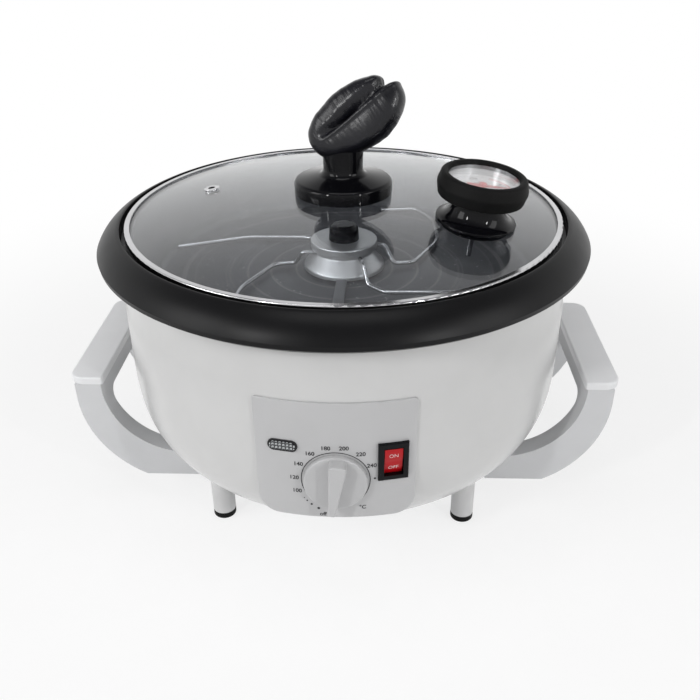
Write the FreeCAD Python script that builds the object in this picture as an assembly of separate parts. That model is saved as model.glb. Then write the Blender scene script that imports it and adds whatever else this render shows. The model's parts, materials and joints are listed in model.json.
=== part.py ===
"""Home coffee bean roaster: a round bowl with a heated pan, a slowly turning wire stirrer,
a lift-off glass lid with a dial thermometer, two side handles and a small control panel.

Millimetres. +Z is up, the control panel faces -Y, and the origin is on the table under the
middle of the bowl. Every piece is written to parts/NAME.step.
"""
import FreeCAD, Part
import math
import os

from FreeCAD import Matrix, Placement, Rotation, Vector

# ------------------------------------------------------------------ clearances
SEAT_GAP = 0.3            # a loose piece above the seat that carries it
RUNNING_GAP = 0.05        # radial clearance of a turning shaft in its bore
HOLE_GAP = 0.25           # radial clearance round a screw or a fixed neck
SLOT_GAP = 0.2            # side clearance of a sheet edge in its slot

# ------------------------------------------------------------------ outer shell
BELLY_RADIUS = 133.6
SHOULDER_STEP = 1.2       # the band above the shoulder is this much slimmer than the belly
BOWL_TAPER = 38.6         # from the belly's radius in to the bottom edge
SHELL_WALL = 2.0
GROUND_CLEARANCE = 22.5   # under the base plate
BELLY_RISE = 79.0         # from the bottom edge to where the wall is upright
SHOULDER_RISE = 107.5     # from the bottom edge to the shoulder
SHOULDER_HEIGHT = 1.8
BAND_HEIGHT = 33.7        # from the shoulder to the shell's top edge
BOWL_CURVE_POWER = 3.3    # how quickly the bowl fills out above its bottom
BOWL_SECTIONS = 7
BOTTOM_FLANGE_WIDTH = 13.0

# ------------------------------------------------------------------ base and feet
BASE_THICKNESS = 2.5
BASE_INSET = 2.0          # the base plate stays inside the bowl's bottom edge
BASE_SCREW_INSET = 7.5
FOOT_OVERHANG = 5.4       # the feet's middles are this far outside the bottom edge
FOOT_ANGLE = 41.5         # from the X axis
FOOT_RADIUS = 7.0
PAD_HEIGHT = 4.5
PAD_PLUG_RADIUS = 3.5
PAD_PLUG_LENGTH = 5.0
FOOT_SPIGOT_RADIUS = 4.0
FOOT_SPIGOT_LENGTH = 13.0 # above the bowl's bottom edge
VENT_SLOT_COUNT = 20
VENT_SLOT_WIDTH = 3.0
VENT_SLOT_LENGTH = 22.0
VENT_RING_INSET = 29.0    # from the bottom edge to the middle of the slots

# ------------------------------------------------------------------ rim collar
COLLAR_OVERHANG = 12.6    # from the shell's neck out to the rim
COLLAR_ROOF = 3.0         # thickness over the shell's top edge
COLLAR_LEDGE_DEPTH = 8.0  # from the mouth's edge down to the ledge for the pan
COLLAR_SLOPE_DROP = 12.3  # from the mouth's edge down to the rim
COLLAR_RIM_HEIGHT = 4.9
COLLAR_MOUTH_INSET = 1.4  # from the shell's neck in to the mouth
COLLAR_LIP = 1.2
COLLAR_CROWN = 1.6        # how far the sloping face bulges
COLLAR_RIM_SLOPE = 1.5    # the rim's underside drops this much for each unit inwards
COLLAR_RIM_BULGE = 0.45   # from the rim's radius in to the middle of its side
COLLAR_RIM_MIDDLE = 0.55  # how far down its side that is, as a share
COLLAR_SPIGOT_DEPTH = 8.0 # below the shell's top edge
COLLAR_SPIGOT_WALL = 3.7

# ------------------------------------------------------------------ roasting pan
PAN_SHEET = 1.5
PAN_DEPTH = 31.0          # from the ledge down to the pan's floor
PAN_SIDE_GAP = 1.5        # between the pan's wall and the collar
PAN_WALL_SLOPE = 10.5     # the mouth is wider than the floor by this, on each side
PAN_CORNER_RADIUS = 5.0
PAN_NECK_RADIUS = 5.5
PAN_NECK_HEIGHT = 9.5

# ------------------------------------------------------------------ heater and shield
HEATER_INSET = 39.0       # from the floor's edge in to the ring
HEATER_TUBE_RADIUS = 3.6
HEATER_GAP_ANGLE = 40.0
HEATER_LEG_LENGTH = 22.0
SHIELD_SHEET = 0.8
SHIELD_SPACE = 20.5       # under the pan
SHIELD_FLANGE_WIDTH = 6.2
SHIELD_WALL_SLOPE = 12.0
SHIELD_BEND_RADIUS = 8.0
SHIELD_HOLE_RADIUS = 14.0

# ------------------------------------------------------------------ gear motor and bracket
MOTOR_RADIUS = 30.0
MOTOR_HEIGHT = 38.0
MOTOR_SPACE = 14.0        # between the motor and the heat shield
MOTOR_OFFSET = 10.0       # the output is off the motor's middle
MOTOR_EDGE_RADIUS = 2.0
MOTOR_BOSS_RADIUS = 10.0
MOTOR_BOSS_HEIGHT = 6.0
BRACKET_SHEET = 2.0
BRACKET_HALF_WIDTH = 37.0
BRACKET_HALF_DEPTH = 30.0
BRACKET_FOOT_LENGTH = 14.0

# ------------------------------------------------------------------ stirrer
SHAFT_RADIUS = 4.0
BUSH_FLANGE_RADIUS = 7.5
BUSH_FLANGE_HEIGHT = 1.5
HUB_DISC_RADIUS = 20.3
HUB_HEIGHT = 19.0         # above the pan's floor
HUB_DISC_THICKNESS = 5.0
HUB_STEP_RADIUS = 17.5
HUB_STEP_DROP = 7.5       # below the hub's top
HUB_SKIRT_RADIUS = 24.5
HUB_SKIRT_EDGE = 2.0
HUB_EDGE_RADIUS = 1.0
HUB_WALL = 2.5
HUB_FLOOR_GAP = 1.8
NUT_RADIUS = 9.2
NUT_HEIGHT = 9.0
NUT_TAPER = 0.6
NUT_CROWN_RADIUS = 3.5
NUT_FLUTE_COUNT = 6
NUT_FLUTE_RADIUS = 3.0
NUT_FLUTE_OFFSET = 2.3    # from the nut's side out to the flute's middle
NUT_FLUTE_RISE = 1.5
WIRE_RADIUS = 1.3
WIRE_FLOOR_GAP = 1.5
WIRE_ROOT_DROP = 6.7      # below the hub's top
WIRE_BEND_RADIUS = 4.0
WIRE_SWEEP_RADIUS = 40.0
WIRE_WALL_GAP = 2.0       # between the wires' sweep and the floor's edge
LONG_WIRE_TURN = (33.0, -32.2)    # inside the sweep, and the angle from +X
LONG_WIRE_TIP = (0.0, -12.7)
HOOK_WIRE_TURNS = ((40.0, 32.3), (14.8, 52.2), (2.8, 63.7))
HOOK_WIRE_TIP = (14.2, 76.3)
BLADE_WIDTH = 6.3
BLADE_SHEET = 1.0
BLADE_WALL_GAP = 7.0
BLADE_ANGLE = -91.5

# ------------------------------------------------------------------ handles
GRIP_STANDOFF = 11.2      # between the bowl's belly and the grip
GRIP_WIDTH = 20.6
GRIP_HALF_LENGTH = 53.3
GRIP_HEIGHT = 66.6        # from the bowl's bottom edge to the grip's top
GRIP_THICKNESS = 4.6
GRIP_CORNER_RADIUS = 9.0
GRIP_EDGE_RADIUS = 1.2
BAR_INSET = 1.4
BAR_WIDTH = 15.8
BAR_DEPTH = 15.6          # from the grip's top to the bar's underside
ARM_DEPTH = 13.0
ARM_OUTER_BEND_RADIUS = 65.5
ARM_OUTER_BEND_SHARE = 0.45       # sine of the angle left out at the bend's lower end
ARM_INNER_BEND_RADIUS = 48.0
ARM_INNER_BEND_DROP = 6.6 # below the grip's top
ARM_DROP = 5.5            # below the bowl's bottom edge
ARM_TUCK = 5.0            # the arms end this far inside the bottom edge
ARM_OPENING_RADIUS = 9.0
HANDLE_SCREW_INSET = 5.5  # from the arm's end
HANDLE_SCREW_SINK = 1.0   # its head is sunk this far into the arm
HANDLE_SCREW_RISE = 16.0  # from the bowl's bottom edge to the screw's tip

# ------------------------------------------------------------------ control panel
PANEL_SHEET = 1.2         # over the bowl's belly; the face is round about the bowl's axis
PANEL_HALF_WIDTH = 41.5
PANEL_HEIGHT = 72.5
PANEL_TOP_DROP = 3.0      # below the shell's shoulder
PANEL_LOWER_CORNER = 11.0
PANEL_UPPER_CORNER = 2.5
PANEL_EDGE_RADIUS = 0.7
WINDOW_MARGIN = 5.0       # the shell's window stays this far inside the panel
WINDOW_SILL = 7.0         # and this far above its lower edge

# ------------------------------------------------------------------ thermostat and its knob
KNOB_RISE = 25.0          # above the panel's lower edge
KNOB_RADIUS = 16.6
KNOB_SKIRT_HEIGHT = 2.8
KNOB_SKIRT_EDGE = 1.0
KNOB_HEIGHT = 9.6
KNOB_FACE_GAP = 0.4
KNOB_BAR_WIDTH = 9.6      # at its broad end
KNOB_BAR_TIP_WIDTH = 3.5
KNOB_BAR_TAIL = 15.5      # from the knob's middle to the broad end
KNOB_BAR_REACH = 16.4     # from the knob's middle to the tip
KNOB_BAR_CORNER = 2.2
KNOB_BAR_EDGE = 0.8
KNOB_REST_ANGLE = 173.5   # the pointer's angle from straight up, towards -X, at rest
KNOB_BORE_DEPTH = 6.0
STAT_SHAFT_RADIUS = 2.4
STAT_NECK_RADIUS = 5.0
STAT_HALF_SIZE = 14.0
STAT_DEPTH = 20.0
STAT_EDGE_RADIUS = 1.5
STAT_SHAFT_END_GAP = 1.0  # from the middle of the case back to the shaft's end
STAT_SETBACK = 3.6        # from the panel's face to the front of the thermostat's case

# ------------------------------------------------------------------ rocker switch
SWITCH_X = 29.5
SWITCH_RISE = 36.2        # above the panel's lower edge
SWITCH_WIDTH = 16.0
SWITCH_HEIGHT = 22.8
SWITCH_FRAME_PROUD = 1.8
SWITCH_BORDER = 2.9
SWITCH_FRAME_EDGE = 0.8
SWITCH_BODY_INSET = 1.2
SWITCH_BODY_DEPTH = 18.0
SWITCH_BODY_STEP = 0.5    # the body begins this far behind the frame's face
PIVOT_HOLE_WALL = 1.4     # left outside the pivot holes
ROCKER_GAP = 0.35
ROCKER_FACE_DEPTH = 1.1   # the face's middle behind the frame's face
ROCKER_LOBE_DEPTH = 0.9   # each half's crown behind the frame's face
ROCKER_LOBE_SHARE = 2.2
ROCKER_TIP_PROUD = 0.6
ROCKER_TIP_GAP = 0.4
ROCKER_BELLY_DEPTH = 3.6  # behind the pivot
ROCKER_WAIST_SHARE = 0.8
ROCKER_PIVOT_DEPTH = 4.5  # behind the frame's face
ROCKER_TILT = 8.0         # the rocker leans this far to either side
ROCKER_PIN_RADIUS = 1.3
TERMINAL_LENGTH = 8.0
TERMINAL_PITCH = 6.5
TERMINAL_HALF_WIDTH = 2.4
TERMINAL_HALF_SHEET = 0.4

# ------------------------------------------------------------------ pilot lamp
LAMP_X = -26.8
LAMP_RISE = 45.4          # above the panel's lower edge
LAMP_LENGTH = 15.7
LAMP_HEIGHT = 6.8
LAMP_BORDER = 0.55
LAMP_PROUD = 1.2
LAMP_DEPTH = 12.0
LAMP_RIB_COUNT = 7

# ------------------------------------------------------------------ cord gland at the back
GLAND_HEIGHT = 37.0       # above the bowl's bottom edge
GLAND_RADIUS = 7.0
GLAND_FLANGE_RADIUS = 10.5
GLAND_BORE_RADIUS = 3.8
GLAND_PROUD = 5.0
GLAND_INSIDE = 22.0
GLAND_EDGE_RADIUS = 1.2

# ------------------------------------------------------------------ lid
LID_SIDE_GAP = 2.6        # between the lid's band and the collar's mouth
LID_BAND_SHEET = 0.8
LID_BAND_PLAY = 1.0       # above the glass inside the folded band
LID_LIP = 3.2
GLASS_THICKNESS = 4.0
DOME_EDGE_DROP = 13.1     # from the dome's top to its upper edge
VENT_INSET = 43.6         # from the glass's edge
VENT_ANGLE = 167.6
VENT_HOLE_RADIUS = 3.0
VENT_FLANGE_RADIUS = 4.8
VENT_FLANGE_HEIGHT = 0.8

# ------------------------------------------------------------------ lid knob
KNOB_BASE_RADIUS = 28.8
KNOB_BASE_SEAT = 3.0      # width of the ring that stands on the glass
KNOB_BASE_EDGE = 8.0
KNOB_BASE_SLOPE = 3.2
KNOB_BASE_FOOT_BEND = 0.8
KNOB_BASE_RIM_BEND = 2.4
KNOB_NECK_BEND = 3.0
KNOB_NECK_RADIUS = 11.2
KNOB_NECK_FLARE = 0.4
KNOB_NECK_HEIGHT = 25.0   # above the dome's top
BEAN_HALF_LENGTH = 32.5
BEAN_HALF_WIDTH = 19.5
BEAN_HALF_THICKNESS = 16.5
BEAN_X = 7.5
BEAN_RISE = 15.6          # from the neck's top to the bean's middle
BEAN_LEAN = 39.0          # long axis above the horizontal
BEAN_ROLL = 25.0          # how far the creased face looks upwards
BEAN_FACE_DEPTH = 11.5    # the creased face lies this far in front of the bean's middle
BEAN_CREASE_WIDTH = 2.4
BEAN_CREASE_DEPTH = 5.0
BEAN_CREASE_SWAY = 2.6
BEAN_CREASE_REACH = 1.1   # the crease runs out past both ends, as a share of the half length
BEAN_CREASE_SPANS = 4
KNOB_SCREW_RADIUS = 2.5
KNOB_SCREW_LENGTH = 18.0
KNOB_SCREW_HEAD_RADIUS = 5.0
KNOB_SCREW_HEAD_HEIGHT = 2.6
KNOB_SCREW_HEAD_EDGE = 1.0
KNOB_WASHER_RADIUS = 9.0
KNOB_WASHER_THICKNESS = 1.5

# ------------------------------------------------------------------ lid thermometer
THERMO_INSET = 45.5       # from the glass's edge
THERMO_ANGLE = -24.5
MOUNT_FOOT_RADIUS = 22.5
MOUNT_TOP_RADIUS = 14.5
MOUNT_EDGE_HEIGHT = 6.5
MOUNT_EDGE_RADIUS = 4.5
MOUNT_HEIGHT = 13.1
MOUNT_FOOT_BEND = 0.8
CASE_RADIUS = 22.4
CASE_BACK_RADIUS = 14.0
CASE_SHEET = 0.8
CASE_CORNER_RADIUS = 1.2
CASE_HEIGHT = 10.5
BEZEL_WALL = 2.8          # outside the case
BEZEL_OVERLAP = 3.0       # from the case's radius in to the opening
BEZEL_HEIGHT = 13.0
BEZEL_LIP = 2.4
BEZEL_BACK_TAPER = 1.5
BEZEL_BACK_EDGE = 1.0
BEZEL_SIDE_BEND = 4.0
BEZEL_FRONT_TAPER = 1.8
BEZEL_FRONT_EDGE = 2.2
BEZEL_OPENING_EDGE = 0.8
LENS_THICKNESS = 1.2
DIAL_THICKNESS = 0.5
DIAL_DEPTH = 6.0          # below the lens
POINTER_LENGTH = 16.0
POINTER_TAIL = 8.5
POINTER_TAIL_WIDTH = 3.8
POINTER_WAIST_WIDTH = 3.2
POINTER_SHEET = 0.5
POINTER_TIP_RADIUS = 0.2
POINTER_LIFT = 1.8        # above the dial
POINTER_HUB_RADIUS = 2.2
POINTER_SHAFT_RADIUS = 0.7
POINTER_REST_ANGLE = 250.0
STEM_RADIUS = 1.5
STEM_BORE_RADIUS = 1.0
STEM_REACH = 24.0         # below the glass's upper face
STEM_END_WALL = 2.0
THREAD_PAST_NUT = 1.5
THREAD_RADIUS = 5.0
THERMO_NUT_RADIUS = 19.0
THERMO_NUT_EDGE = 1.6
THERMO_NUT_CORE_RADIUS = 10.0
THERMO_NUT_HEIGHT = 4.5
THERMO_NUT_RIM_BEND = 0.6
THERMO_NUT_CORE_BEND = 1.0

# ------------------------------------------------------------------ small screws
SCREW_RADIUS = 1.75
SCREW_HEAD_RADIUS = 3.4
SCREW_HEAD_HEIGHT = 2.2

# ------------------------------------------------------------------ worked out from the sizes above
NECK_RADIUS = BELLY_RADIUS - SHOULDER_STEP
BOTTOM_RADIUS = BELLY_RADIUS - BOWL_TAPER
BASE_BOTTOM_Z = GROUND_CLEARANCE
SHELL_BOTTOM_Z = BASE_BOTTOM_Z + BASE_THICKNESS
BELLY_Z = SHELL_BOTTOM_Z + BELLY_RISE
SHOULDER_Z = SHELL_BOTTOM_Z + SHOULDER_RISE
SHOULDER_TOP_Z = SHOULDER_Z + SHOULDER_HEIGHT
SHELL_TOP_Z = SHOULDER_TOP_Z + BAND_HEIGHT
BASE_RADIUS = BOTTOM_RADIUS - BASE_INSET
BASE_SCREW_CIRCLE = BOTTOM_RADIUS - BASE_SCREW_INSET
VENT_RING_RADIUS = BOTTOM_RADIUS - VENT_RING_INSET

RIM_RADIUS = NECK_RADIUS + COLLAR_OVERHANG
COLLAR_MOUTH_RADIUS = NECK_RADIUS - COLLAR_MOUTH_INSET
COLLAR_SPIGOT_RADIUS = NECK_RADIUS - SHELL_WALL - SLOT_GAP
COLLAR_BORE_RADIUS = COLLAR_SPIGOT_RADIUS - COLLAR_SPIGOT_WALL
COLLAR_SPIGOT_Z = SHELL_TOP_Z - COLLAR_SPIGOT_DEPTH
PAN_SEAT_Z = SHELL_TOP_Z + COLLAR_ROOF
COLLAR_TOP_Z = PAN_SEAT_Z + COLLAR_LEDGE_DEPTH
RIM_Z = COLLAR_TOP_Z - COLLAR_SLOPE_DROP
COLLAR_UNDERSIDE_Z = RIM_Z - COLLAR_RIM_HEIGHT

PAN_MOUTH_RADIUS = COLLAR_BORE_RADIUS - PAN_SIDE_GAP - PAN_SHEET
PAN_FLOOR_RADIUS = PAN_MOUTH_RADIUS - PAN_WALL_SLOPE
PAN_FLOOR_Z = PAN_SEAT_Z - PAN_DEPTH
PAN_UNDERSIDE_Z = PAN_FLOOR_Z - PAN_SHEET
PAN_NECK_TOP_Z = PAN_FLOOR_Z + PAN_NECK_HEIGHT
PAN_FLANGE_TOP_Z = PAN_SEAT_Z + PAN_SHEET
HEATER_RING_RADIUS = PAN_FLOOR_RADIUS - HEATER_INSET
SHIELD_WALL_RADIUS = COLLAR_SPIGOT_RADIUS - SHIELD_FLANGE_WIDTH
SHIELD_FLOOR_RADIUS = SHIELD_WALL_RADIUS - SHIELD_WALL_SLOPE
SHIELD_FLOOR_Z = PAN_UNDERSIDE_Z - SHIELD_SPACE
MOTOR_TOP_Z = SHIELD_FLOOR_Z - MOTOR_SPACE
MOTOR_BOSS_TOP_Z = MOTOR_TOP_Z + MOTOR_BOSS_HEIGHT

HUB_TOP_Z = PAN_FLOOR_Z + HUB_HEIGHT
HUB_STEP_Z = HUB_TOP_Z - HUB_STEP_DROP
SHAFT_TOP_Z = HUB_TOP_Z + NUT_HEIGHT - 2 * PAN_SHEET
WIRE_ROOT_Z = HUB_TOP_Z - WIRE_ROOT_DROP
WIRE_Z = PAN_FLOOR_Z + WIRE_FLOOR_GAP + WIRE_RADIUS
WIRE_REACH = PAN_FLOOR_RADIUS - WIRE_WALL_GAP
BLADE_REACH = PAN_FLOOR_RADIUS - BLADE_WALL_GAP

GRIP_INNER_X = BELLY_RADIUS + GRIP_STANDOFF
GRIP_OUTER_X = GRIP_INNER_X + GRIP_WIDTH
GRIP_TOP_Z = SHELL_BOTTOM_Z + GRIP_HEIGHT
GRIP_BOTTOM_Z = GRIP_TOP_Z - GRIP_THICKNESS
BAR_INNER_X = GRIP_INNER_X + BAR_INSET
BAR_OUTER_X = BAR_INNER_X + BAR_WIDTH
BAR_UNDERSIDE_Z = GRIP_TOP_Z - BAR_DEPTH
ARM_INNER_BEND_Z = GRIP_TOP_Z - ARM_INNER_BEND_DROP
ARM_BOTTOM_Z = SHELL_BOTTOM_Z - ARM_DROP
ARM_END_X = BOTTOM_RADIUS - ARM_TUCK
HANDLE_SCREW_X = ARM_END_X + HANDLE_SCREW_INSET
HANDLE_SCREW_SEAT_Z = ARM_BOTTOM_Z + SCREW_HEAD_HEIGHT + HANDLE_SCREW_SINK

PANEL_FACE_RADIUS = BELLY_RADIUS + PANEL_SHEET
PANEL_TOP_Z = SHOULDER_Z - PANEL_TOP_DROP
PANEL_BOTTOM_Z = PANEL_TOP_Z - PANEL_HEIGHT
KNOB_Z = PANEL_BOTTOM_Z + KNOB_RISE
SWITCH_Z = PANEL_BOTTOM_Z + SWITCH_RISE
LAMP_Z = PANEL_BOTTOM_Z + LAMP_RISE
GLAND_Z = SHELL_BOTTOM_Z + GLAND_HEIGHT

LID_BAND_RADIUS = COLLAR_MOUTH_RADIUS - LID_SIDE_GAP
LID_BAND_HEIGHT = GLASS_THICKNESS + 2 * LID_BAND_SHEET + LID_BAND_PLAY
LID_BOTTOM_Z = PAN_FLANGE_TOP_Z + SEAT_GAP
LID_BAND_TOP_Z = LID_BOTTOM_Z + LID_BAND_HEIGHT
GLASS_RADIUS = LID_BAND_RADIUS - LID_BAND_SHEET
DOME_TOP_Z = LID_BOTTOM_Z + LID_BAND_SHEET + SEAT_GAP + GLASS_THICKNESS + DOME_EDGE_DROP
DOME_RADIUS = (GLASS_RADIUS ** 2 + DOME_EDGE_DROP ** 2) / (2 * DOME_EDGE_DROP)
VENT_DISTANCE = GLASS_RADIUS - VENT_INSET
KNOB_NECK_TOP_Z = DOME_TOP_Z + KNOB_NECK_HEIGHT
BEAN_Z = KNOB_NECK_TOP_Z + BEAN_RISE
THERMO_DISTANCE = GLASS_RADIUS - THERMO_INSET
LENS_TOP = MOUNT_HEIGHT + CASE_HEIGHT + LENS_THICKNESS
DIAL_TOP = LENS_TOP - LENS_THICKNESS - DIAL_DEPTH
CASE_CONE_TOP = DIAL_TOP - DIAL_THICKNESS - CASE_SHEET / 2 - CASE_CORNER_RADIUS
POINTER_BOTTOM = DIAL_TOP + POINTER_LIFT
BEZEL_RADIUS = CASE_RADIUS + BEZEL_WALL
BEZEL_OPENING_RADIUS = CASE_RADIUS - BEZEL_OVERLAP

UP = Vector(0, 0, 1)
ORIGIN = Vector(0, 0, 0)


# ------------------------------------------------------------------ shared building blocks
def cylinder(radius, bottom, top, x=0.0, y=0.0):
    """Upright cylinder between two heights."""
    return Part.makeCylinder(radius, top - bottom, Vector(x, y, bottom), UP)


def tube(outer, inner, bottom, top, x=0.0, y=0.0):
    """Upright tube between two heights."""
    return cylinder(outer, bottom, top, x, y).cut(cylinder(inner, bottom - 1, top + 1, x, y))


def block(low, high):
    """Box between two opposite corners."""
    size = [b - a for a, b in zip(low, high)]
    return Part.makeBox(size[0], size[1], size[2], Vector(*low))


def rounded_wire(corners, closed=True):
    """Wire through points, each given with its own bend radius: [(point, radius), ...]."""
    count = len(corners)
    edges = []
    start = None
    first = None
    for index, (point, radius) in enumerate(corners):
        at_end = not closed and index in (0, count - 1)
        if radius <= 0 or at_end:
            entry, leave = point, point
        else:
            before = (corners[index - 1][0] - point).normalize()
            after = (corners[(index + 1) % count][0] - point).normalize()
            half = 0.5 * before.getAngle(after)
            run = radius / math.tan(half)
            entry = point + before * run
            leave = point + after * run
            bisector = (before + after).normalize()
            middle = point + bisector * (radius / math.sin(half) - radius)
            arc = Part.Arc(entry, middle, leave).toShape()
        if start is not None and (entry - start).Length > 1e-6:
            edges.append(Part.LineSegment(start, entry).toShape())
        if radius > 0 and not at_end:
            edges.append(arc)
        if first is None:
            first = entry
        start = leave
    if closed and (first - start).Length > 1e-6:
        edges.append(Part.LineSegment(start, first).toShape())
    return Part.Wire(edges)


def turned(outline):
    """Solid of revolution about Z from (radius, height, corner rounding) points."""
    corners = [(Vector(radius, 0, height), rounding) for radius, height, rounding in outline]
    return Part.Face(rounded_wire(corners)).revolve(ORIGIN, UP, 360)


def turned_faces(edges):
    """Solid of revolution about Z from the closed edges of a half section."""
    return Part.Face(Part.Wire(edges)).revolve(ORIGIN, UP, 360)


def bent_rod(corners, radius):
    """Round rod along a path of straight runs and tangent arcs: [(point, bend radius), ...]."""
    path = rounded_wire(corners, closed=False)
    start = corners[0][0]
    heading = corners[1][0] - start
    section = Part.Wire([Part.makeCircle(radius, start, heading)])
    return path.makePipeShell([section], True, False, 2)


def round_edges(shape, radius, chosen):
    """Fillet every edge that the test picks."""
    edges = [edge for edge in shape.Edges if chosen(edge)]
    return shape.makeFillet(radius, edges) if edges else shape


def is_along(edge, axis):
    """True for a straight edge that runs along an axis."""
    if not isinstance(edge.Curve, (Part.Line, Part.LineSegment)):
        return False
    return abs(edge.tangentAt(edge.FirstParameter).normalize().dot(axis)) > 0.999


def polar(radius, angle, height=0.0):
    """Point at an angle in degrees from +X."""
    turn = math.radians(angle)
    return Vector(radius * math.cos(turn), radius * math.sin(turn), height)


def mirrored(shape):
    """The same piece on the other side of the bowl."""
    return shape.mirror(ORIGIN, Vector(1, 0, 0))


def pan_head_screw(seat, tip, x, y):
    """Screw driven upwards: its head hangs below the seat, its tip is above."""
    shank = cylinder(SCREW_RADIUS, seat, tip, x, y)
    head = cylinder(SCREW_HEAD_RADIUS, seat - SCREW_HEAD_HEIGHT, seat, x, y)
    head = round_edges(head, SCREW_HEAD_HEIGHT / 3, lambda e: e.BoundBox.ZMax < seat - SCREW_HEAD_HEIGHT / 2)
    return head.fuse(shank)


# ------------------------------------------------------------------ the bowl
def bowl_radius(height):
    """Radius of the bowl's wall between its bottom edge and the belly."""
    climb = (height - SHELL_BOTTOM_Z) / (BELLY_Z - SHELL_BOTTOM_Z)
    return BELLY_RADIUS - (BELLY_RADIUS - BOTTOM_RADIUS) * (1 - climb) ** BOWL_CURVE_POWER


def bowl_solid(inset):
    """The bowl as a filled solid, its wall moved inwards by the inset."""
    step = (BELLY_Z - SHELL_BOTTOM_Z) / (BOWL_SECTIONS - 1)
    heights = [SHELL_BOTTOM_Z + step * index for index in range(BOWL_SECTIONS)]
    wall = Part.BSplineCurve()
    wall.interpolate([Vector(bowl_radius(z) - inset, 0, z) for z in heights])
    belly = BELLY_RADIUS - inset
    neck = NECK_RADIUS - inset
    points = [
        Vector(belly, 0, BELLY_Z), Vector(belly, 0, SHOULDER_Z), Vector(neck, 0, SHOULDER_TOP_Z),
        Vector(neck, 0, SHELL_TOP_Z), Vector(0, 0, SHELL_TOP_Z), Vector(0, 0, SHELL_BOTTOM_Z),
        Vector(BOTTOM_RADIUS - inset, 0, SHELL_BOTTOM_Z),
    ]
    edges = [Part.LineSegment(a, b).toShape() for a, b in zip(points, points[1:])]
    return turned_faces([wall.toShape()] + edges)


def panel_window():
    """The opening in the shell behind the control panel."""
    corner = (PANEL_HALF_WIDTH - WINDOW_MARGIN, PANEL_TOP_Z - WINDOW_MARGIN)
    low = (-corner[0], -RIM_RADIUS, PANEL_BOTTOM_Z + WINDOW_SILL)
    return block(low, (corner[0], -PANEL_FACE_RADIUS / 2, corner[1]))


def outer_shell():
    """White painted bowl with an inward bottom flange, a panel window and a gland hole."""
    floor = SHELL_BOTTOM_Z + SHELL_WALL
    hollow = bowl_solid(SHELL_WALL).cut(cylinder(BELLY_RADIUS, SHELL_BOTTOM_Z - 1, floor))
    mouth = cylinder(NECK_RADIUS - SHELL_WALL, SHELL_TOP_Z - SHELL_WALL, SHELL_TOP_Z + 1)
    eye = cylinder(BOTTOM_RADIUS - BOTTOM_FLANGE_WIDTH, SHELL_BOTTOM_Z - 1, floor + 1)
    cuts = [hollow, mouth, eye, panel_window(), gland_barrel(GLAND_RADIUS + HOLE_GAP)]
    wall_holes = [(SCREW_RADIUS, x, y) for x, y in handle_screw_places()]
    wall_holes += [(FOOT_SPIGOT_RADIUS, x, y) for x, y in foot_places().values()]
    for radius, x, y in wall_holes:
        cuts.append(cylinder(radius + HOLE_GAP, ARM_BOTTOM_Z, BAR_UNDERSIDE_Z, x, y))
    for point in base_screw_places():
        cuts.append(cylinder(SCREW_RADIUS, SHELL_BOTTOM_Z - 1, floor + 1, point.x, point.y))
    return bowl_solid(0).cut(cuts)


# ------------------------------------------------------------------ base plate and feet
def foot_places():
    """Middle of each foot, named."""
    circle = BOTTOM_RADIUS + FOOT_OVERHANG
    angles = {
        "front_left": 180 + FOOT_ANGLE,
        "front_right": -FOOT_ANGLE,
        "rear_left": 180 - FOOT_ANGLE,
        "rear_right": FOOT_ANGLE,
    }
    middles = {name: polar(circle, angle) for name, angle in angles.items()}
    return {name: (middle.x, middle.y) for name, middle in middles.items()}


def base_screw_places():
    """Screws that hold the base plate to the bowl's bottom flange."""
    return [polar(BASE_SCREW_CIRCLE, angle) for angle in (0, 90, 180, 270)]


def bracket_screw_places():
    """Screws that hold the motor bracket's feet to the base plate."""
    reach = BRACKET_HALF_WIDTH + BRACKET_FOOT_LENGTH / 2
    side = BRACKET_HALF_DEPTH / 2
    return [(sx * reach, sy * side) for sx in (-1, 1) for sy in (-1, 1)]


def base_plate():
    """Round steel plate with a ring of ventilation slots."""
    plate = cylinder(BASE_RADIUS, BASE_BOTTOM_Z, SHELL_BOTTOM_Z)
    cuts = []
    for index in range(VENT_SLOT_COUNT):
        slot = block(
            (VENT_RING_RADIUS - VENT_SLOT_LENGTH / 2, -VENT_SLOT_WIDTH / 2, BASE_BOTTOM_Z - 1),
            (VENT_RING_RADIUS + VENT_SLOT_LENGTH / 2, VENT_SLOT_WIDTH / 2, SHELL_BOTTOM_Z + 1),
        )
        slot.rotate(ORIGIN, UP, 360.0 * (index + 0.5) / VENT_SLOT_COUNT)
        cuts.append(slot)
    holes = [(p.x, p.y) for p in base_screw_places()] + bracket_screw_places()
    for x, y in holes:
        cuts.append(cylinder(SCREW_RADIUS + HOLE_GAP, BASE_BOTTOM_Z - 1, SHELL_BOTTOM_Z + 1, x, y))
    return plate.cut(cuts)


def foot(x, y):
    """Post whose top follows the bowl's underside; its spigot goes up through the wall."""
    top = SHELL_BOTTOM_Z + FOOT_SPIGOT_LENGTH
    post = cylinder(FOOT_RADIUS, PAD_HEIGHT, top, x, y).cut(bowl_solid(0))
    spigot = cylinder(FOOT_SPIGOT_RADIUS, BASE_BOTTOM_Z, top, x, y)
    socket = cylinder(PAD_PLUG_RADIUS, PAD_HEIGHT - 1, PAD_HEIGHT + PAD_PLUG_LENGTH, x, y)
    return post.fuse(spigot).cut(socket)


def foot_pad(x, y):
    """Rubber pad with a plug that goes up into the foot."""
    pad = cylinder(FOOT_RADIUS, 0, PAD_HEIGHT, x, y)
    pad = round_edges(pad, PAD_HEIGHT / 4, lambda e: e.BoundBox.ZMax < PAD_HEIGHT / 2)
    return pad.fuse(cylinder(PAD_PLUG_RADIUS, PAD_HEIGHT, PAD_HEIGHT + PAD_PLUG_LENGTH, x, y))


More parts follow.
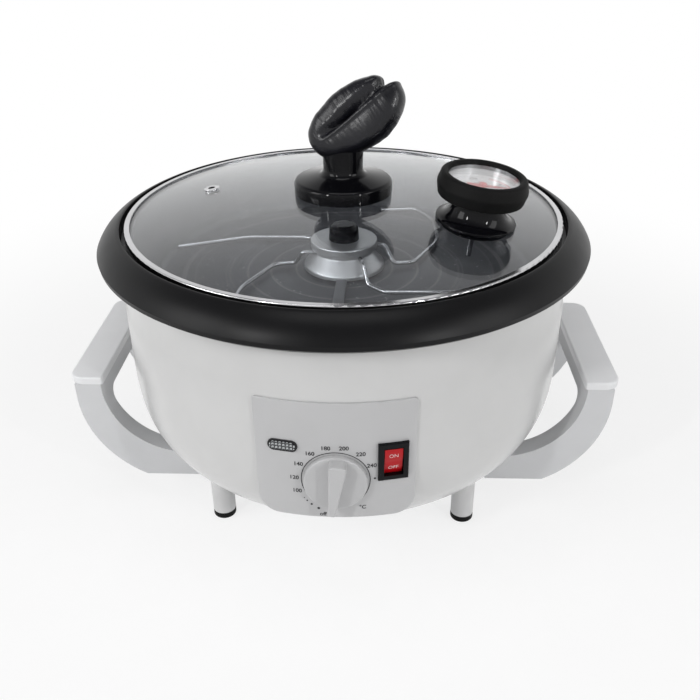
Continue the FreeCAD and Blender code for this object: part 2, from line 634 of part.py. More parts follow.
def base_screws():
    """Four screws up through the base plate into the bowl's flange."""
    tip = SHELL_BOTTOM_Z + 3 * SHELL_WALL
    return Part.makeCompound([pan_head_screw(BASE_BOTTOM_Z, tip, p.x, p.y) for p in base_screw_places()])


def bracket_screws():
    """Four screws up through the base plate into the motor bracket's feet."""
    tip = SHELL_BOTTOM_Z + 2 * BRACKET_SHEET
    return Part.makeCompound([pan_head_screw(BASE_BOTTOM_Z, tip, x, y) for x, y in bracket_screw_places()])


# ------------------------------------------------------------------ rim collar
def rim_collar():
    """Black ring that crowns the bowl: a crowned sloping face, a slot for the shell's edge
    and a ledge that carries the pan."""
    slot_outer = NECK_RADIUS + SLOT_GAP
    slot_inner = COLLAR_SPIGOT_RADIUS
    lip = Vector(COLLAR_MOUTH_RADIUS + COLLAR_LIP, 0, COLLAR_TOP_Z)
    rim = Vector(RIM_RADIUS, 0, RIM_Z)
    chord = rim - lip
    outward = Vector(-chord.z, 0, chord.x).normalize()
    crown = lip + chord * 0.5 + outward * COLLAR_CROWN
    under = Vector(RIM_RADIUS - COLLAR_RIM_HEIGHT / COLLAR_RIM_SLOPE, 0, COLLAR_UNDERSIDE_Z)
    side = Vector(RIM_RADIUS - COLLAR_RIM_BULGE, 0, RIM_Z - COLLAR_RIM_MIDDLE * COLLAR_RIM_HEIGHT)
    section = [
        (slot_outer, COLLAR_UNDERSIDE_Z),
        (slot_outer, SHELL_TOP_Z),
        (slot_inner, SHELL_TOP_Z),
        (slot_inner, COLLAR_SPIGOT_Z),
        (COLLAR_BORE_RADIUS, COLLAR_SPIGOT_Z),
        (COLLAR_BORE_RADIUS, PAN_SEAT_Z),
        (COLLAR_MOUTH_RADIUS, PAN_SEAT_Z),
        (COLLAR_MOUTH_RADIUS, COLLAR_TOP_Z),
        (lip.x, lip.z),
    ]
    points = [under] + [Vector(radius, 0, height) for radius, height in section]
    edges = [Part.LineSegment(a, b).toShape() for a, b in zip(points, points[1:])]
    edges.append(Part.Arc(lip, crown, rim).toShape())
    edges.append(Part.Arc(rim, side, under).toShape())
    return turned_faces(edges)


# ------------------------------------------------------------------ pan, heater, shield
def roasting_pan():
    """Shallow sheet pan with a centre neck for the stirrer's shaft and an outward flange."""
    flange_radius = COLLAR_MOUTH_RADIUS - SEAT_GAP
    neck = PAN_NECK_RADIUS + PAN_SHEET
    inner = PAN_CORNER_RADIUS
    outer = PAN_CORNER_RADIUS + PAN_SHEET
    return turned([
        (PAN_NECK_RADIUS, PAN_NECK_TOP_Z, 0),
        (neck, PAN_NECK_TOP_Z, 0),
        (neck, PAN_FLOOR_Z, PAN_SHEET),
        (PAN_FLOOR_RADIUS, PAN_FLOOR_Z, inner),
        (PAN_MOUTH_RADIUS, PAN_FLANGE_TOP_Z, PAN_SHEET),
        (flange_radius, PAN_FLANGE_TOP_Z, 0),
        (flange_radius, PAN_SEAT_Z, 0),
        (PAN_MOUTH_RADIUS + PAN_SHEET, PAN_SEAT_Z, PAN_SHEET / 2),
        (PAN_FLOOR_RADIUS + PAN_SHEET, PAN_UNDERSIDE_Z, outer),
        (PAN_NECK_RADIUS, PAN_UNDERSIDE_Z, 0),
    ])


def heating_element():
    """Tubular ring close under the pan, open at the back where both ends turn down."""
    height = PAN_UNDERSIDE_Z - SEAT_GAP - HEATER_TUBE_RADIUS
    bend = 2 * HEATER_TUBE_RADIUS
    half_gap = HEATER_GAP_ANGLE / 2
    start = polar(HEATER_RING_RADIUS, 90 + half_gap, height)
    end = polar(HEATER_RING_RADIUS, 90 - half_gap, height)
    front = polar(HEATER_RING_RADIUS, -90, height)
    edges = []
    for tip, sense in ((start, 1), (end, -1)):
        along = Vector(-tip.y, tip.x, 0).normalize() * -sense
        corner = tip + along * bend
        low = corner - UP * bend
        hub = tip - UP * bend
        middle = hub + (along + UP).normalize() * bend
        leg_end = low - UP * HEATER_LEG_LENGTH
        edges.append((Part.LineSegment(leg_end, low).toShape(), Part.Arc(low, middle, tip).toShape()))
    ring = Part.Arc(start, front, end).toShape()
    path = Part.Wire([edges[0][0], edges[0][1], ring, edges[1][1], edges[1][0]])
    foot_point = path.OrderedVertexes[0].Point
    section = Part.Wire([Part.makeCircle(HEATER_TUBE_RADIUS, foot_point, UP)])
    return path.makePipeShell([section], True, False, 2)


def heater_leg_places():
    """Where the element's two ends pass down through the shield."""
    places = []
    for sense in (1, -1):
        tip = polar(HEATER_RING_RADIUS, 90 + sense * HEATER_GAP_ANGLE / 2)
        along = Vector(-tip.y, tip.x, 0).normalize() * -sense
        places.append(tip + along * (2 * HEATER_TUBE_RADIUS))
    return places


def heat_shield():
    """Thin dish that hangs from the collar and keeps the heat off the works below."""
    flange_radius = COLLAR_SPIGOT_RADIUS
    bend = SHIELD_BEND_RADIUS
    dish = turned([
        (SHIELD_HOLE_RADIUS, SHIELD_FLOOR_Z, 0),
        (SHIELD_FLOOR_RADIUS, SHIELD_FLOOR_Z, bend),
        (SHIELD_WALL_RADIUS, COLLAR_SPIGOT_Z, 0),
        (flange_radius, COLLAR_SPIGOT_Z, 0),
        (flange_radius, COLLAR_SPIGOT_Z - SHIELD_SHEET, 0),
        (SHIELD_WALL_RADIUS + SHIELD_SHEET, COLLAR_SPIGOT_Z - SHIELD_SHEET, 0),
        (SHIELD_FLOOR_RADIUS + SHIELD_SHEET, SHIELD_FLOOR_Z - SHIELD_SHEET, bend + SHIELD_SHEET),
        (SHIELD_HOLE_RADIUS, SHIELD_FLOOR_Z - SHIELD_SHEET, 0),
    ])
    low = SHIELD_FLOOR_Z - 2 * SHIELD_SHEET
    holes = [cylinder(HEATER_TUBE_RADIUS, low, SHIELD_FLOOR_Z + 1, p.x, p.y) for p in heater_leg_places()]
    return dish.cut(holes)


# ------------------------------------------------------------------ motor and bracket
def gear_motor():
    """Flat synchronous gear motor; its output boss is off-centre, on the bowl's axis."""
    bottom = MOTOR_TOP_Z - MOTOR_HEIGHT
    case = cylinder(MOTOR_RADIUS, bottom, MOTOR_TOP_Z, 0, MOTOR_OFFSET)
    case = round_edges(case, MOTOR_EDGE_RADIUS, lambda e: e.BoundBox.ZMax < bottom + 1)
    boss = cylinder(MOTOR_BOSS_RADIUS, MOTOR_TOP_Z, MOTOR_BOSS_TOP_Z)
    bore = cylinder(SHAFT_RADIUS + RUNNING_GAP, MOTOR_TOP_Z - MOTOR_HEIGHT / 3, MOTOR_BOSS_TOP_Z + 1)
    return case.fuse(boss).cut(bore)


def motor_bracket():
    """Bent sheet bridge: the motor hangs under its top and its two feet stand on the base."""
    outer = BRACKET_HALF_WIDTH
    inner = outer - BRACKET_SHEET
    top = MOTOR_TOP_Z + BRACKET_SHEET
    foot_top = SHELL_BOTTOM_Z + BRACKET_SHEET
    reach = outer + BRACKET_FOOT_LENGTH
    bend = BRACKET_SHEET / 2
    outline = [
        (-reach, SHELL_BOTTOM_Z, 0), (-inner, SHELL_BOTTOM_Z, bend + BRACKET_SHEET),
        (-inner, MOTOR_TOP_Z, bend), (inner, MOTOR_TOP_Z, bend),
        (inner, SHELL_BOTTOM_Z, bend + BRACKET_SHEET), (reach, SHELL_BOTTOM_Z, 0),
        (reach, foot_top, 0), (outer, foot_top, bend), (outer, top, bend + BRACKET_SHEET),
        (-outer, top, bend + BRACKET_SHEET), (-outer, foot_top, bend), (-reach, foot_top, 0),
    ]
    corners = [(Vector(x, -BRACKET_HALF_DEPTH, z), rounding) for x, z, rounding in outline]
    bracket = Part.Face(rounded_wire(corners)).extrude(Vector(0, 2 * BRACKET_HALF_DEPTH, 0))
    cuts = [cylinder(MOTOR_BOSS_RADIUS, MOTOR_TOP_Z - 1, top + 1)]
    for x, y in bracket_screw_places():
        cuts.append(cylinder(SCREW_RADIUS, SHELL_BOTTOM_Z - 1, foot_top + 1, x, y))
    return bracket.cut(cuts)


# ------------------------------------------------------------------ stirrer
def drive_shaft():
    """Shaft from the motor's output up through the pan and the hub into the nut."""
    return cylinder(SHAFT_RADIUS, MOTOR_TOP_Z - MOTOR_HEIGHT / 4, SHAFT_TOP_Z)


def shaft_bushing():
    """Bronze bush pressed into the pan's neck."""
    top = PAN_NECK_TOP_Z
    body = cylinder(PAN_NECK_RADIUS, PAN_UNDERSIDE_Z, top)
    flange = cylinder(BUSH_FLANGE_RADIUS, top, top + BUSH_FLANGE_HEIGHT)
    return body.fuse(flange).cut(cylinder(SHAFT_RADIUS + RUNNING_GAP, PAN_UNDERSIDE_Z - 1, top + 5))


def stirrer_hub():
    """Stepped disc on a flared skirt that covers the pan's neck."""
    bottom = PAN_FLOOR_Z + HUB_FLOOR_GAP
    disc_bottom = HUB_TOP_Z - HUB_DISC_THICKNESS
    roof = PAN_NECK_TOP_Z + BUSH_FLANGE_HEIGHT + SEAT_GAP
    edge = HUB_EDGE_RADIUS
    return turned([
        (SHAFT_RADIUS, roof, 0),
        (SHAFT_RADIUS, HUB_TOP_Z, 0),
        (HUB_DISC_RADIUS, HUB_TOP_Z, edge),
        (HUB_DISC_RADIUS, disc_bottom, edge),
        (HUB_STEP_RADIUS, disc_bottom, 0),
        (HUB_STEP_RADIUS, HUB_STEP_Z, edge),
        (HUB_SKIRT_RADIUS, bottom + HUB_SKIRT_EDGE, 2 * edge),
        (HUB_SKIRT_RADIUS, bottom, 0),
        (HUB_SKIRT_RADIUS - HUB_WALL, bottom, 0),
        (BUSH_FLANGE_RADIUS + HUB_WALL, roof, 2 * edge),
    ])


def hub_nut():
    """Domed, fluted black nut that clamps the hub on the shaft."""
    top = HUB_TOP_Z + NUT_HEIGHT
    nut = turned([
        (0, HUB_TOP_Z, 0),
        (NUT_RADIUS, HUB_TOP_Z, 0),
        (NUT_RADIUS - NUT_TAPER, top, NUT_CROWN_RADIUS),
        (0, top, 0),
    ])
    cuts = [cylinder(SHAFT_RADIUS, HUB_TOP_Z - 1, SHAFT_TOP_Z)]
    for index in range(NUT_FLUTE_COUNT):
        middle = polar(NUT_RADIUS + NUT_FLUTE_OFFSET, 360.0 * index / NUT_FLUTE_COUNT)
        cuts.append(cylinder(NUT_FLUTE_RADIUS, HUB_TOP_Z + NUT_FLUTE_RISE, top + 1, middle.x, middle.y))
    return nut.cut(cuts)


def sweep_point(place):
    """Point of a wire, given by its distance inside the sweep and its angle."""
    inset, angle = place
    return polar(WIRE_REACH - inset, angle, WIRE_Z)


def long_wire():
    """Arm that leaves the hub at the front, drops to the floor and runs out sideways."""
    bend = WIRE_BEND_RADIUS
    return bent_rod([
        (polar(HUB_STEP_RADIUS - bend / 2, -53.0, WIRE_ROOT_Z), 0),
        (polar(HUB_SKIRT_RADIUS + bend, -64.0, WIRE_ROOT_Z), bend),
        (polar(HUB_SKIRT_RADIUS + 2.5 * bend, -64.2, WIRE_Z), bend),
        (polar(HUB_SKIRT_RADIUS + 6 * bend, -58.6, WIRE_Z), 2 * bend),
        (sweep_point(LONG_WIRE_TURN), WIRE_SWEEP_RADIUS),
        (sweep_point(LONG_WIRE_TIP), 0),
    ], WIRE_RADIUS)


def hook_wire():
    """Arm that drops beside the hub, sweeps out and hooks back near the pan's wall."""
    bend = WIRE_BEND_RADIUS
    first, second, third = [sweep_point(place) for place in HOOK_WIRE_TURNS]
    return bent_rod([
        (polar(HUB_STEP_RADIUS - bend / 2, 23.2, WIRE_ROOT_Z), 0),
        (polar(HUB_SKIRT_RADIUS + bend / 3, 13.5, WIRE_ROOT_Z), bend),
        (polar(HUB_SKIRT_RADIUS + 1.5 * bend, 0.0, WIRE_Z), bend),
        (polar(HUB_SKIRT_RADIUS + 4.6 * bend, 2.7, WIRE_Z), 2 * bend),
        (first, WIRE_SWEEP_RADIUS),
        (second, WIRE_SWEEP_RADIUS),
        (third, 1.5 * bend),
        (sweep_point(HOOK_WIRE_TIP), 0),
    ], WIRE_RADIUS)


def seated_wire(shape):
    """A wire without the part of it that the hub would take up."""
    return shape.cut(stirrer_hub())


def half_turn(shape):
    """The same piece on the other side of the stirrer."""
    turned_shape = shape.copy()
    turned_shape.rotate(ORIGIN, UP, 180)
    return turned_shape


def scraper_blade():
    """Flat strip that lies just above the pan's floor, carried by the hub's skirt."""
    bottom = PAN_FLOOR_Z + HUB_FLOOR_GAP
    strip = block((HUB_SKIRT_RADIUS - HUB_WALL, -BLADE_WIDTH / 2, bottom),
                  (BLADE_REACH, BLADE_WIDTH / 2, bottom + BLADE_SHEET))
    strip.rotate(ORIGIN, UP, BLADE_ANGLE)
    return strip.cut(stirrer_hub())


# ------------------------------------------------------------------ handles
def handle_screw_places():
    """One screw up through the foot of each handle arm."""
    y = GRIP_HALF_LENGTH - ARM_DEPTH / 2
    return [(sx * HANDLE_SCREW_X, sy * y) for sx in (-1, 1) for sy in (-1, 1)]


def right_handle():
    """Side moulding: a bar under the grip plate and two arms that curve in under the bowl."""
    half = GRIP_HALF_LENGTH
    outer_bend_x = BAR_OUTER_X - ARM_OUTER_BEND_RADIUS
    outer_bend_run = ARM_OUTER_BEND_RADIUS * ARM_OUTER_BEND_SHARE
    outer_bend_z = ARM_BOTTOM_Z + math.sqrt(ARM_OUTER_BEND_RADIUS ** 2 - outer_bend_run ** 2)
    foot_x = outer_bend_x + outer_bend_run
    inner_bend_x = BAR_INNER_X - ARM_INNER_BEND_RADIUS
    diagonal = math.sqrt(0.5)

    def point(x, z):
        return Vector(x, -half, z)

    outer_start = point(BAR_OUTER_X, outer_bend_z)
    outer_middle = point(outer_bend_x + ARM_OUTER_BEND_RADIUS * diagonal,
                         outer_bend_z - ARM_OUTER_BEND_RADIUS * diagonal)
    outer_end = point(foot_x, ARM_BOTTOM_Z)
    inner_start = point(BAR_INNER_X, ARM_INNER_BEND_Z)
    inner_middle = point(inner_bend_x + ARM_INNER_BEND_RADIUS * diagonal,
                         ARM_INNER_BEND_Z - ARM_INNER_BEND_RADIUS * diagonal)
    inner_end = point(inner_bend_x, ARM_INNER_BEND_Z - ARM_INNER_BEND_RADIUS)
    end_top = point(ARM_END_X, inner_end.z)
    end_bottom = point(ARM_END_X, ARM_BOTTOM_Z)
    outline = Part.Wire([
        Part.LineSegment(point(BAR_INNER_X, GRIP_BOTTOM_Z), point(BAR_OUTER_X, GRIP_BOTTOM_Z)).toShape(),
        Part.LineSegment(point(BAR_OUTER_X, GRIP_BOTTOM_Z), outer_start).toShape(),
        Part.Arc(outer_start, outer_middle, outer_end).toShape(),
        Part.LineSegment(outer_end, end_bottom).toShape(),
        Part.LineSegment(end_bottom, end_top).toShape(),
        Part.LineSegment(end_top, inner_end).toShape(),
        Part.Arc(inner_end, inner_middle, inner_start).toShape(),
        Part.LineSegment(inner_start, point(BAR_INNER_X, GRIP_BOTTOM_Z)).toShape(),
    ])
    moulding = Part.Face(outline).extrude(Vector(0, 2 * half, 0))
    side = half - ARM_DEPTH
    opening = Part.Face(rounded_wire([
        (Vector(0, -side, 0), 0),
        (Vector(0, side, 0), 0),
        (Vector(0, side, BAR_UNDERSIDE_Z), ARM_OPENING_RADIUS),
        (Vector(0, -side, BAR_UNDERSIDE_Z), ARM_OPENING_RADIUS),
    ])).extrude(Vector(2 * RIM_RADIUS, 0, 0))
    moulding = moulding.cut(opening).cut(bowl_solid(0))
    cuts = []
    for x, y in handle_screw_places():
        if x > 0:
            cuts.append(cylinder(SCREW_RADIUS + HOLE_GAP, 0, BAR_UNDERSIDE_Z / 2, x, y))
            cuts.append(cylinder(SCREW_HEAD_RADIUS + HOLE_GAP, 0, HANDLE_SCREW_SEAT_Z, x, y))
    return moulding.cut(cuts)


def right_grip_plate():
    """Flat cap of the handle, wider than the bar on its outer side."""
    inner = GRIP_EDGE_RADIUS
    corners = [
        (Vector(GRIP_INNER_X, -GRIP_HALF_LENGTH, GRIP_BOTTOM_Z), inner),
        (Vector(GRIP_OUTER_X, -GRIP_HALF_LENGTH, GRIP_BOTTOM_Z), GRIP_CORNER_RADIUS),
        (Vector(GRIP_OUTER_X, GRIP_HALF_LENGTH, GRIP_BOTTOM_Z), GRIP_CORNER_RADIUS),
        (Vector(GRIP_INNER_X, GRIP_HALF_LENGTH, GRIP_BOTTOM_Z), inner),
    ]
    plate = Part.Face(rounded_wire(corners)).extrude(UP * GRIP_THICKNESS)
    return round_edges(plate, GRIP_EDGE_RADIUS, lambda e: e.BoundBox.ZMin > GRIP_TOP_Z - 0.1)


def handle_screws():
    """Four screws that hold the handles' feet to the bowl."""
    tip = SHELL_BOTTOM_Z + HANDLE_SCREW_RISE
    screws = [pan_head_screw(HANDLE_SCREW_SEAT_Z, tip, x, y) for x, y in handle_screw_places()]
    return Part.makeCompound(screws)


# ------------------------------------------------------------------ control panel
def on_panel(shape, x):
    """Move a piece built at the middle of the panel round to a place on its curved face."""
    moved = shape.copy()
    moved.rotate(ORIGIN, UP, math.degrees(math.asin(x / PANEL_FACE_RADIUS)))
    return moved


def seated_on_panel(shape):
    """A piece cut back to the panel's curved face, so it sits flat on it."""
    return shape.cut(cylinder(PANEL_FACE_RADIUS, 0, RIM_Z))


def panel_block(inset):
    """The panel's outer form, filled back into the bowl, or moved inwards by the inset."""
    drum = cylinder(PANEL_FACE_RADIUS - inset, 0, RIM_Z)
    half = PANEL_HALF_WIDTH - inset
    low = PANEL_BOTTOM_Z + inset
    top = PANEL_TOP_Z - inset
    front = Part.Face(rounded_wire([
        (Vector(-half, -RIM_RADIUS, low), PANEL_LOWER_CORNER - inset),
        (Vector(half, -RIM_RADIUS, low), PANEL_LOWER_CORNER - inset),
        (Vector(half, -RIM_RADIUS, top), PANEL_UPPER_CORNER),
        (Vector(-half, -RIM_RADIUS, top), PANEL_UPPER_CORNER),
    ])).extrude(Vector(0, RIM_RADIUS / 3, 0))
    return front.common(drum)


def control_panel():
    """Curved fascia: its upper part lies on the bowl's belly, its sides reach back below."""
    body = panel_block(0)

    def is_front_edge(edge):
        middle = edge.valueAt((edge.FirstParameter + edge.LastParameter) / 2)
        return math.hypot(middle.x, middle.y) > PANEL_FACE_RADIUS - 0.01

    body = round_edges(body, PANEL_EDGE_RADIUS, is_front_edge)
    body = body.cut([panel_block(PANEL_SHEET), bowl_solid(0)])
    neck = Part.makeCylinder(STAT_NECK_RADIUS + HOLE_GAP, RIM_RADIUS / 2,
                             Vector(0, -RIM_RADIUS, KNOB_Z), Vector(0, 1, 0))
    switch_hole = on_panel(switch_body_block(HOLE_GAP), SWITCH_X)
    lamp_hole = on_panel(lamp_slot(LAMP_BORDER - HOLE_GAP, -5, LAMP_DEPTH), LAMP_X)
    return body.cut([neck, switch_hole, lamp_hole])


# ------------------------------------------------------------------ thermostat
def thermostat_body():
    """Steel case behind the panel with a neck that comes out through the face."""
    front = -PANEL_FACE_RADIUS + STAT_SETBACK
    half = STAT_HALF_SIZE
    case = block((-half, front, KNOB_Z - half), (half, front + STAT_DEPTH, KNOB_Z + half))
    case = round_edges(case, STAT_EDGE_RADIUS, lambda e: is_along(e, Vector(0, 1, 0)))
    mouth = Vector(0, -PANEL_FACE_RADIUS, KNOB_Z)
    inward = Vector(0, 1, 0)
    neck = Part.makeCylinder(STAT_NECK_RADIUS, STAT_SETBACK, mouth, inward)
    bore = Part.makeCylinder(STAT_SHAFT_RADIUS + RUNNING_GAP, STAT_SETBACK + STAT_DEPTH / 2, mouth, inward)
    return case.fuse(neck).cut(bore)


def thermostat_shaft():
    """Short shaft that the knob is pushed onto, with a flat on one side."""
    start = -PANEL_FACE_RADIUS - KNOB_FACE_GAP - KNOB_BORE_DEPTH
    end = -PANEL_FACE_RADIUS + STAT_SETBACK + STAT_DEPTH / 2 - STAT_SHAFT_END_GAP
    return Part.makeCylinder(STAT_SHAFT_RADIUS, end - start, Vector(0, start, KNOB_Z), Vector(0, 1, 0))


def thermostat_knob():
    """Round knob with a raised, tapered finger bar that points at the setting."""
    back = -PANEL_FACE_RADIUS - KNOB_FACE_GAP
    facing = Vector(0, -1, 0)
    centre = Vector(0, back, KNOB_Z)
    rim_y = back - KNOB_SKIRT_HEIGHT
    skirt = Part.makeCylinder(KNOB_RADIUS, KNOB_SKIRT_HEIGHT, centre, facing)
    skirt = round_edges(skirt, KNOB_SKIRT_EDGE, lambda e: e.BoundBox.YMax < rim_y + 0.1)
    bar_front = back - KNOB_HEIGHT
    half = KNOB_BAR_WIDTH / 2
    tip = KNOB_BAR_TIP_WIDTH / 2
    outline = rounded_wire([
        (Vector(-half, bar_front, KNOB_Z - KNOB_BAR_TAIL), KNOB_BAR_CORNER),
        (Vector(half, bar_front, KNOB_Z - KNOB_BAR_TAIL), KNOB_BAR_CORNER),
        (Vector(tip, bar_front, KNOB_Z + KNOB_BAR_REACH), tip / 2),
        (Vector(-tip, bar_front, KNOB_Z + KNOB_BAR_REACH), tip / 2),
    ])
    bar = Part.Face(outline).extrude(Vector(0, KNOB_HEIGHT - KNOB_SKIRT_HEIGHT / 2, 0))
    bar = round_edges(bar, KNOB_BAR_EDGE, lambda e: e.BoundBox.YMax < bar_front + 0.1)
    knob = skirt.fuse(bar)
    knob.rotate(Vector(0, 0, KNOB_Z), facing, KNOB_REST_ANGLE)
    return knob.cut(Part.makeCylinder(STAT_SHAFT_RADIUS, KNOB_BORE_DEPTH, centre, facing))


# ------------------------------------------------------------------ rocker switch
def switch_body_block(grow):
    """The part of the switch that goes through the panel, built at the panel's middle."""
    half_width = SWITCH_WIDTH / 2 - SWITCH_BODY_INSET + grow
    half_height = SWITCH_HEIGHT / 2 - SWITCH_BODY_INSET + grow
    return block((-half_width, -PANEL_FACE_RADIUS - 3, SWITCH_Z - half_height),
                 (half_width, -PANEL_FACE_RADIUS + SWITCH_BODY_DEPTH, SWITCH_Z + half_height))


def rocker_pivot_y():
    """Depth of the rocker's pivot at the middle of the panel."""
    return -PANEL_FACE_RADIUS - SWITCH_FRAME_PROUD + ROCKER_PIVOT_DEPTH


def switch_housing():
    """Black frame and body with a well for the rocker, two pivot holes and three blades."""
    face = -PANEL_FACE_RADIUS - SWITCH_FRAME_PROUD
    half_width = SWITCH_WIDTH / 2
    half_height = SWITCH_HEIGHT / 2
    frame = block((-half_width, face, SWITCH_Z - half_height),
                  (half_width, face + 2 * SWITCH_FRAME_PROUD, SWITCH_Z + half_height))
    frame = round_edges(frame, SWITCH_FRAME_EDGE, lambda e: e.BoundBox.YMax < face + 0.1)
    frame = seated_on_panel(frame)
    behind = block((-RIM_RADIUS, face + SWITCH_BODY_STEP, 0), (RIM_RADIUS, 0, 2 * SWITCH_Z))
    housing = frame.fuse(switch_body_block(0).common(behind))
    well_width = SWITCH_WIDTH / 2 - SWITCH_BORDER
    well_height = SWITCH_HEIGHT / 2 - SWITCH_BORDER
    well = block((-well_width, face - 5, SWITCH_Z - well_height),
                 (well_width, -PANEL_FACE_RADIUS + SWITCH_BODY_DEPTH / 2, SWITCH_Z + well_height))
    pivot_half = half_width - PIVOT_HOLE_WALL
    pivot = Part.makeCylinder(ROCKER_PIN_RADIUS + RUNNING_GAP, 2 * pivot_half,
                              Vector(-pivot_half, rocker_pivot_y(), SWITCH_Z), Vector(1, 0, 0))
    back = -PANEL_FACE_RADIUS + SWITCH_BODY_DEPTH
    blades = []
    for place in (-1, 0, 1):
        middle = SWITCH_Z + place * TERMINAL_PITCH
        blades.append(block((-TERMINAL_HALF_WIDTH, back, middle - TERMINAL_HALF_SHEET),
                            (TERMINAL_HALF_WIDTH, back + TERMINAL_LENGTH, middle + TERMINAL_HALF_SHEET)))
    return on_panel(housing.cut([well, pivot]).fuse(blades), SWITCH_X)


def switch_rocker():
    """Red rocker with a shallow V face and a pin at each side, leaning to the off side."""
    face = -PANEL_FACE_RADIUS - SWITCH_FRAME_PROUD
    half_width = SWITCH_WIDTH / 2 - SWITCH_BORDER - ROCKER_GAP
    half_height = SWITCH_HEIGHT / 2 - SWITCH_BORDER - ROCKER_GAP
    pivot_y = rocker_pivot_y()
    radius = math.hypot(half_height, face - pivot_y + ROCKER_TIP_PROUD) - ROCKER_TIP_GAP
    arc_y = pivot_y - math.sqrt(radius ** 2 - half_height ** 2)

    def point(y, z):
        return Vector(-half_width, y, SWITCH_Z + z)

    middle = point(face + ROCKER_FACE_DEPTH, 0)
    crown_y = face + ROCKER_LOBE_DEPTH
    crown_z = half_height / ROCKER_LOBE_SHARE
    waist = half_height * ROCKER_WAIST_SHARE
    outline = Part.Wire([
        Part.Arc(point(arc_y, -half_height), point(crown_y, -crown_z), middle).toShape(),
        Part.Arc(middle, point(crown_y, crown_z), point(arc_y, half_height)).toShape(),
        Part.LineSegment(point(arc_y, half_height), point(pivot_y, waist)).toShape(),
        Part.Arc(point(pivot_y, waist), point(pivot_y + ROCKER_BELLY_DEPTH, 0),
                 point(pivot_y, -waist)).toShape(),
        Part.LineSegment(point(pivot_y, -waist), point(arc_y, -half_height)).toShape(),
    ])
    rocker = Part.Face(outline).extrude(Vector(2 * half_width, 0, 0))
    pin_half = SWITCH_WIDTH / 2 - PIVOT_HOLE_WALL - SLOT_GAP
    pin_end = Vector(-pin_half, pivot_y, SWITCH_Z)
    pin = Part.makeCylinder(ROCKER_PIN_RADIUS, 2 * pin_half, pin_end, Vector(1, 0, 0))
    rocker = rocker.fuse(pin)
    rocker.rotate(Vector(0, pivot_y, SWITCH_Z), Vector(1, 0, 0), ROCKER_TILT)
    return on_panel(rocker, SWITCH_X)


# ------------------------------------------------------------------ pilot lamp
def lamp_slot(border, front, back):
    """Oval prism at the panel's middle: its border and its two depths behind the face."""
    half = LAMP_LENGTH / 2 - border
    radius = LAMP_HEIGHT / 2 - border
    y = front - PANEL_FACE_RADIUS
    round_end = radius * 0.98
    corners = [
        (Vector(-half, y, LAMP_Z - radius), round_end),
        (Vector(half, y, LAMP_Z - radius), round_end),
        (Vector(half, y, LAMP_Z + radius), round_end),
        (Vector(-half, y, LAMP_Z + radius), round_end),
    ]
    return Part.Face(rounded_wire(corners)).extrude(Vector(0, back - front, 0))


def lamp_housing():
    """Dark oval frame with a barrel behind the panel."""
    rim = seated_on_panel(lamp_slot(0, -LAMP_PROUD / 2, LAMP_PROUD))
    barrel = lamp_slot(LAMP_BORDER, 0, LAMP_DEPTH)
    well = lamp_slot(2 * LAMP_BORDER, -LAMP_PROUD, LAMP_DEPTH / 2)
    return on_panel(rim.fuse(barrel).cut(well), LAMP_X)


def lamp_lens():
    """Clear oval lens with upright ribs."""
    lens = lamp_slot(2 * LAMP_BORDER, -LAMP_PROUD, LAMP_DEPTH / 2)
    pitch = (LAMP_LENGTH - 4 * LAMP_BORDER) / LAMP_RIB_COUNT
    face = -PANEL_FACE_RADIUS - LAMP_PROUD
    low = LAMP_Z - LAMP_HEIGHT / 2
    grooves = []
    for index in range(LAMP_RIB_COUNT - 1):
        x = pitch * (index + 1 - LAMP_RIB_COUNT / 2)
        grooves.append(Part.makeCylinder(pitch / 4, LAMP_HEIGHT, Vector(x, face, low), UP))
    return on_panel(lens.cut(grooves), LAMP_X)


# ------------------------------------------------------------------ cord gland
def gland_barrel(radius):
    """Level cylinder through the back of the bowl at the gland's height."""
    start = BELLY_RADIUS - GLAND_INSIDE
    return Part.makeCylinder(radius, RIM_RADIUS - start, Vector(0, start, GLAND_Z), Vector(0, 1, 0))


def cord_gland():
    """Bush that lines the cord's way through the back of the bowl."""
    outside = BELLY_RADIUS + GLAND_PROUD
    limit = block((-RIM_RADIUS, 0, 0), (RIM_RADIUS, outside, 2 * GLAND_Z))
    flange = gland_barrel(GLAND_FLANGE_RADIUS).common(limit).cut(bowl_solid(0))
    barrel = gland_barrel(GLAND_RADIUS).common(limit)
    gland = flange.fuse(barrel)
    gland = round_edges(gland, GLAND_EDGE_RADIUS, lambda e: e.BoundBox.YMin > outside - 0.1)
    return gland.cut(gland_barrel(GLAND_BORE_RADIUS))


# ------------------------------------------------------------------ lid
def dome_height(radius):
    """Height of the glass's upper face at a distance from the middle."""
    return DOME_TOP_Z - DOME_RADIUS + math.sqrt(DOME_RADIUS ** 2 - radius ** 2)


def dome_section(radius, drop):
    """Arc of the dome's upper face from the middle out to a radius, lowered by the drop."""
    def point(distance):
        return Vector(distance, 0, dome_height(distance) - drop)

    return Part.Arc(point(0), point(radius / 2), point(radius)).toShape()


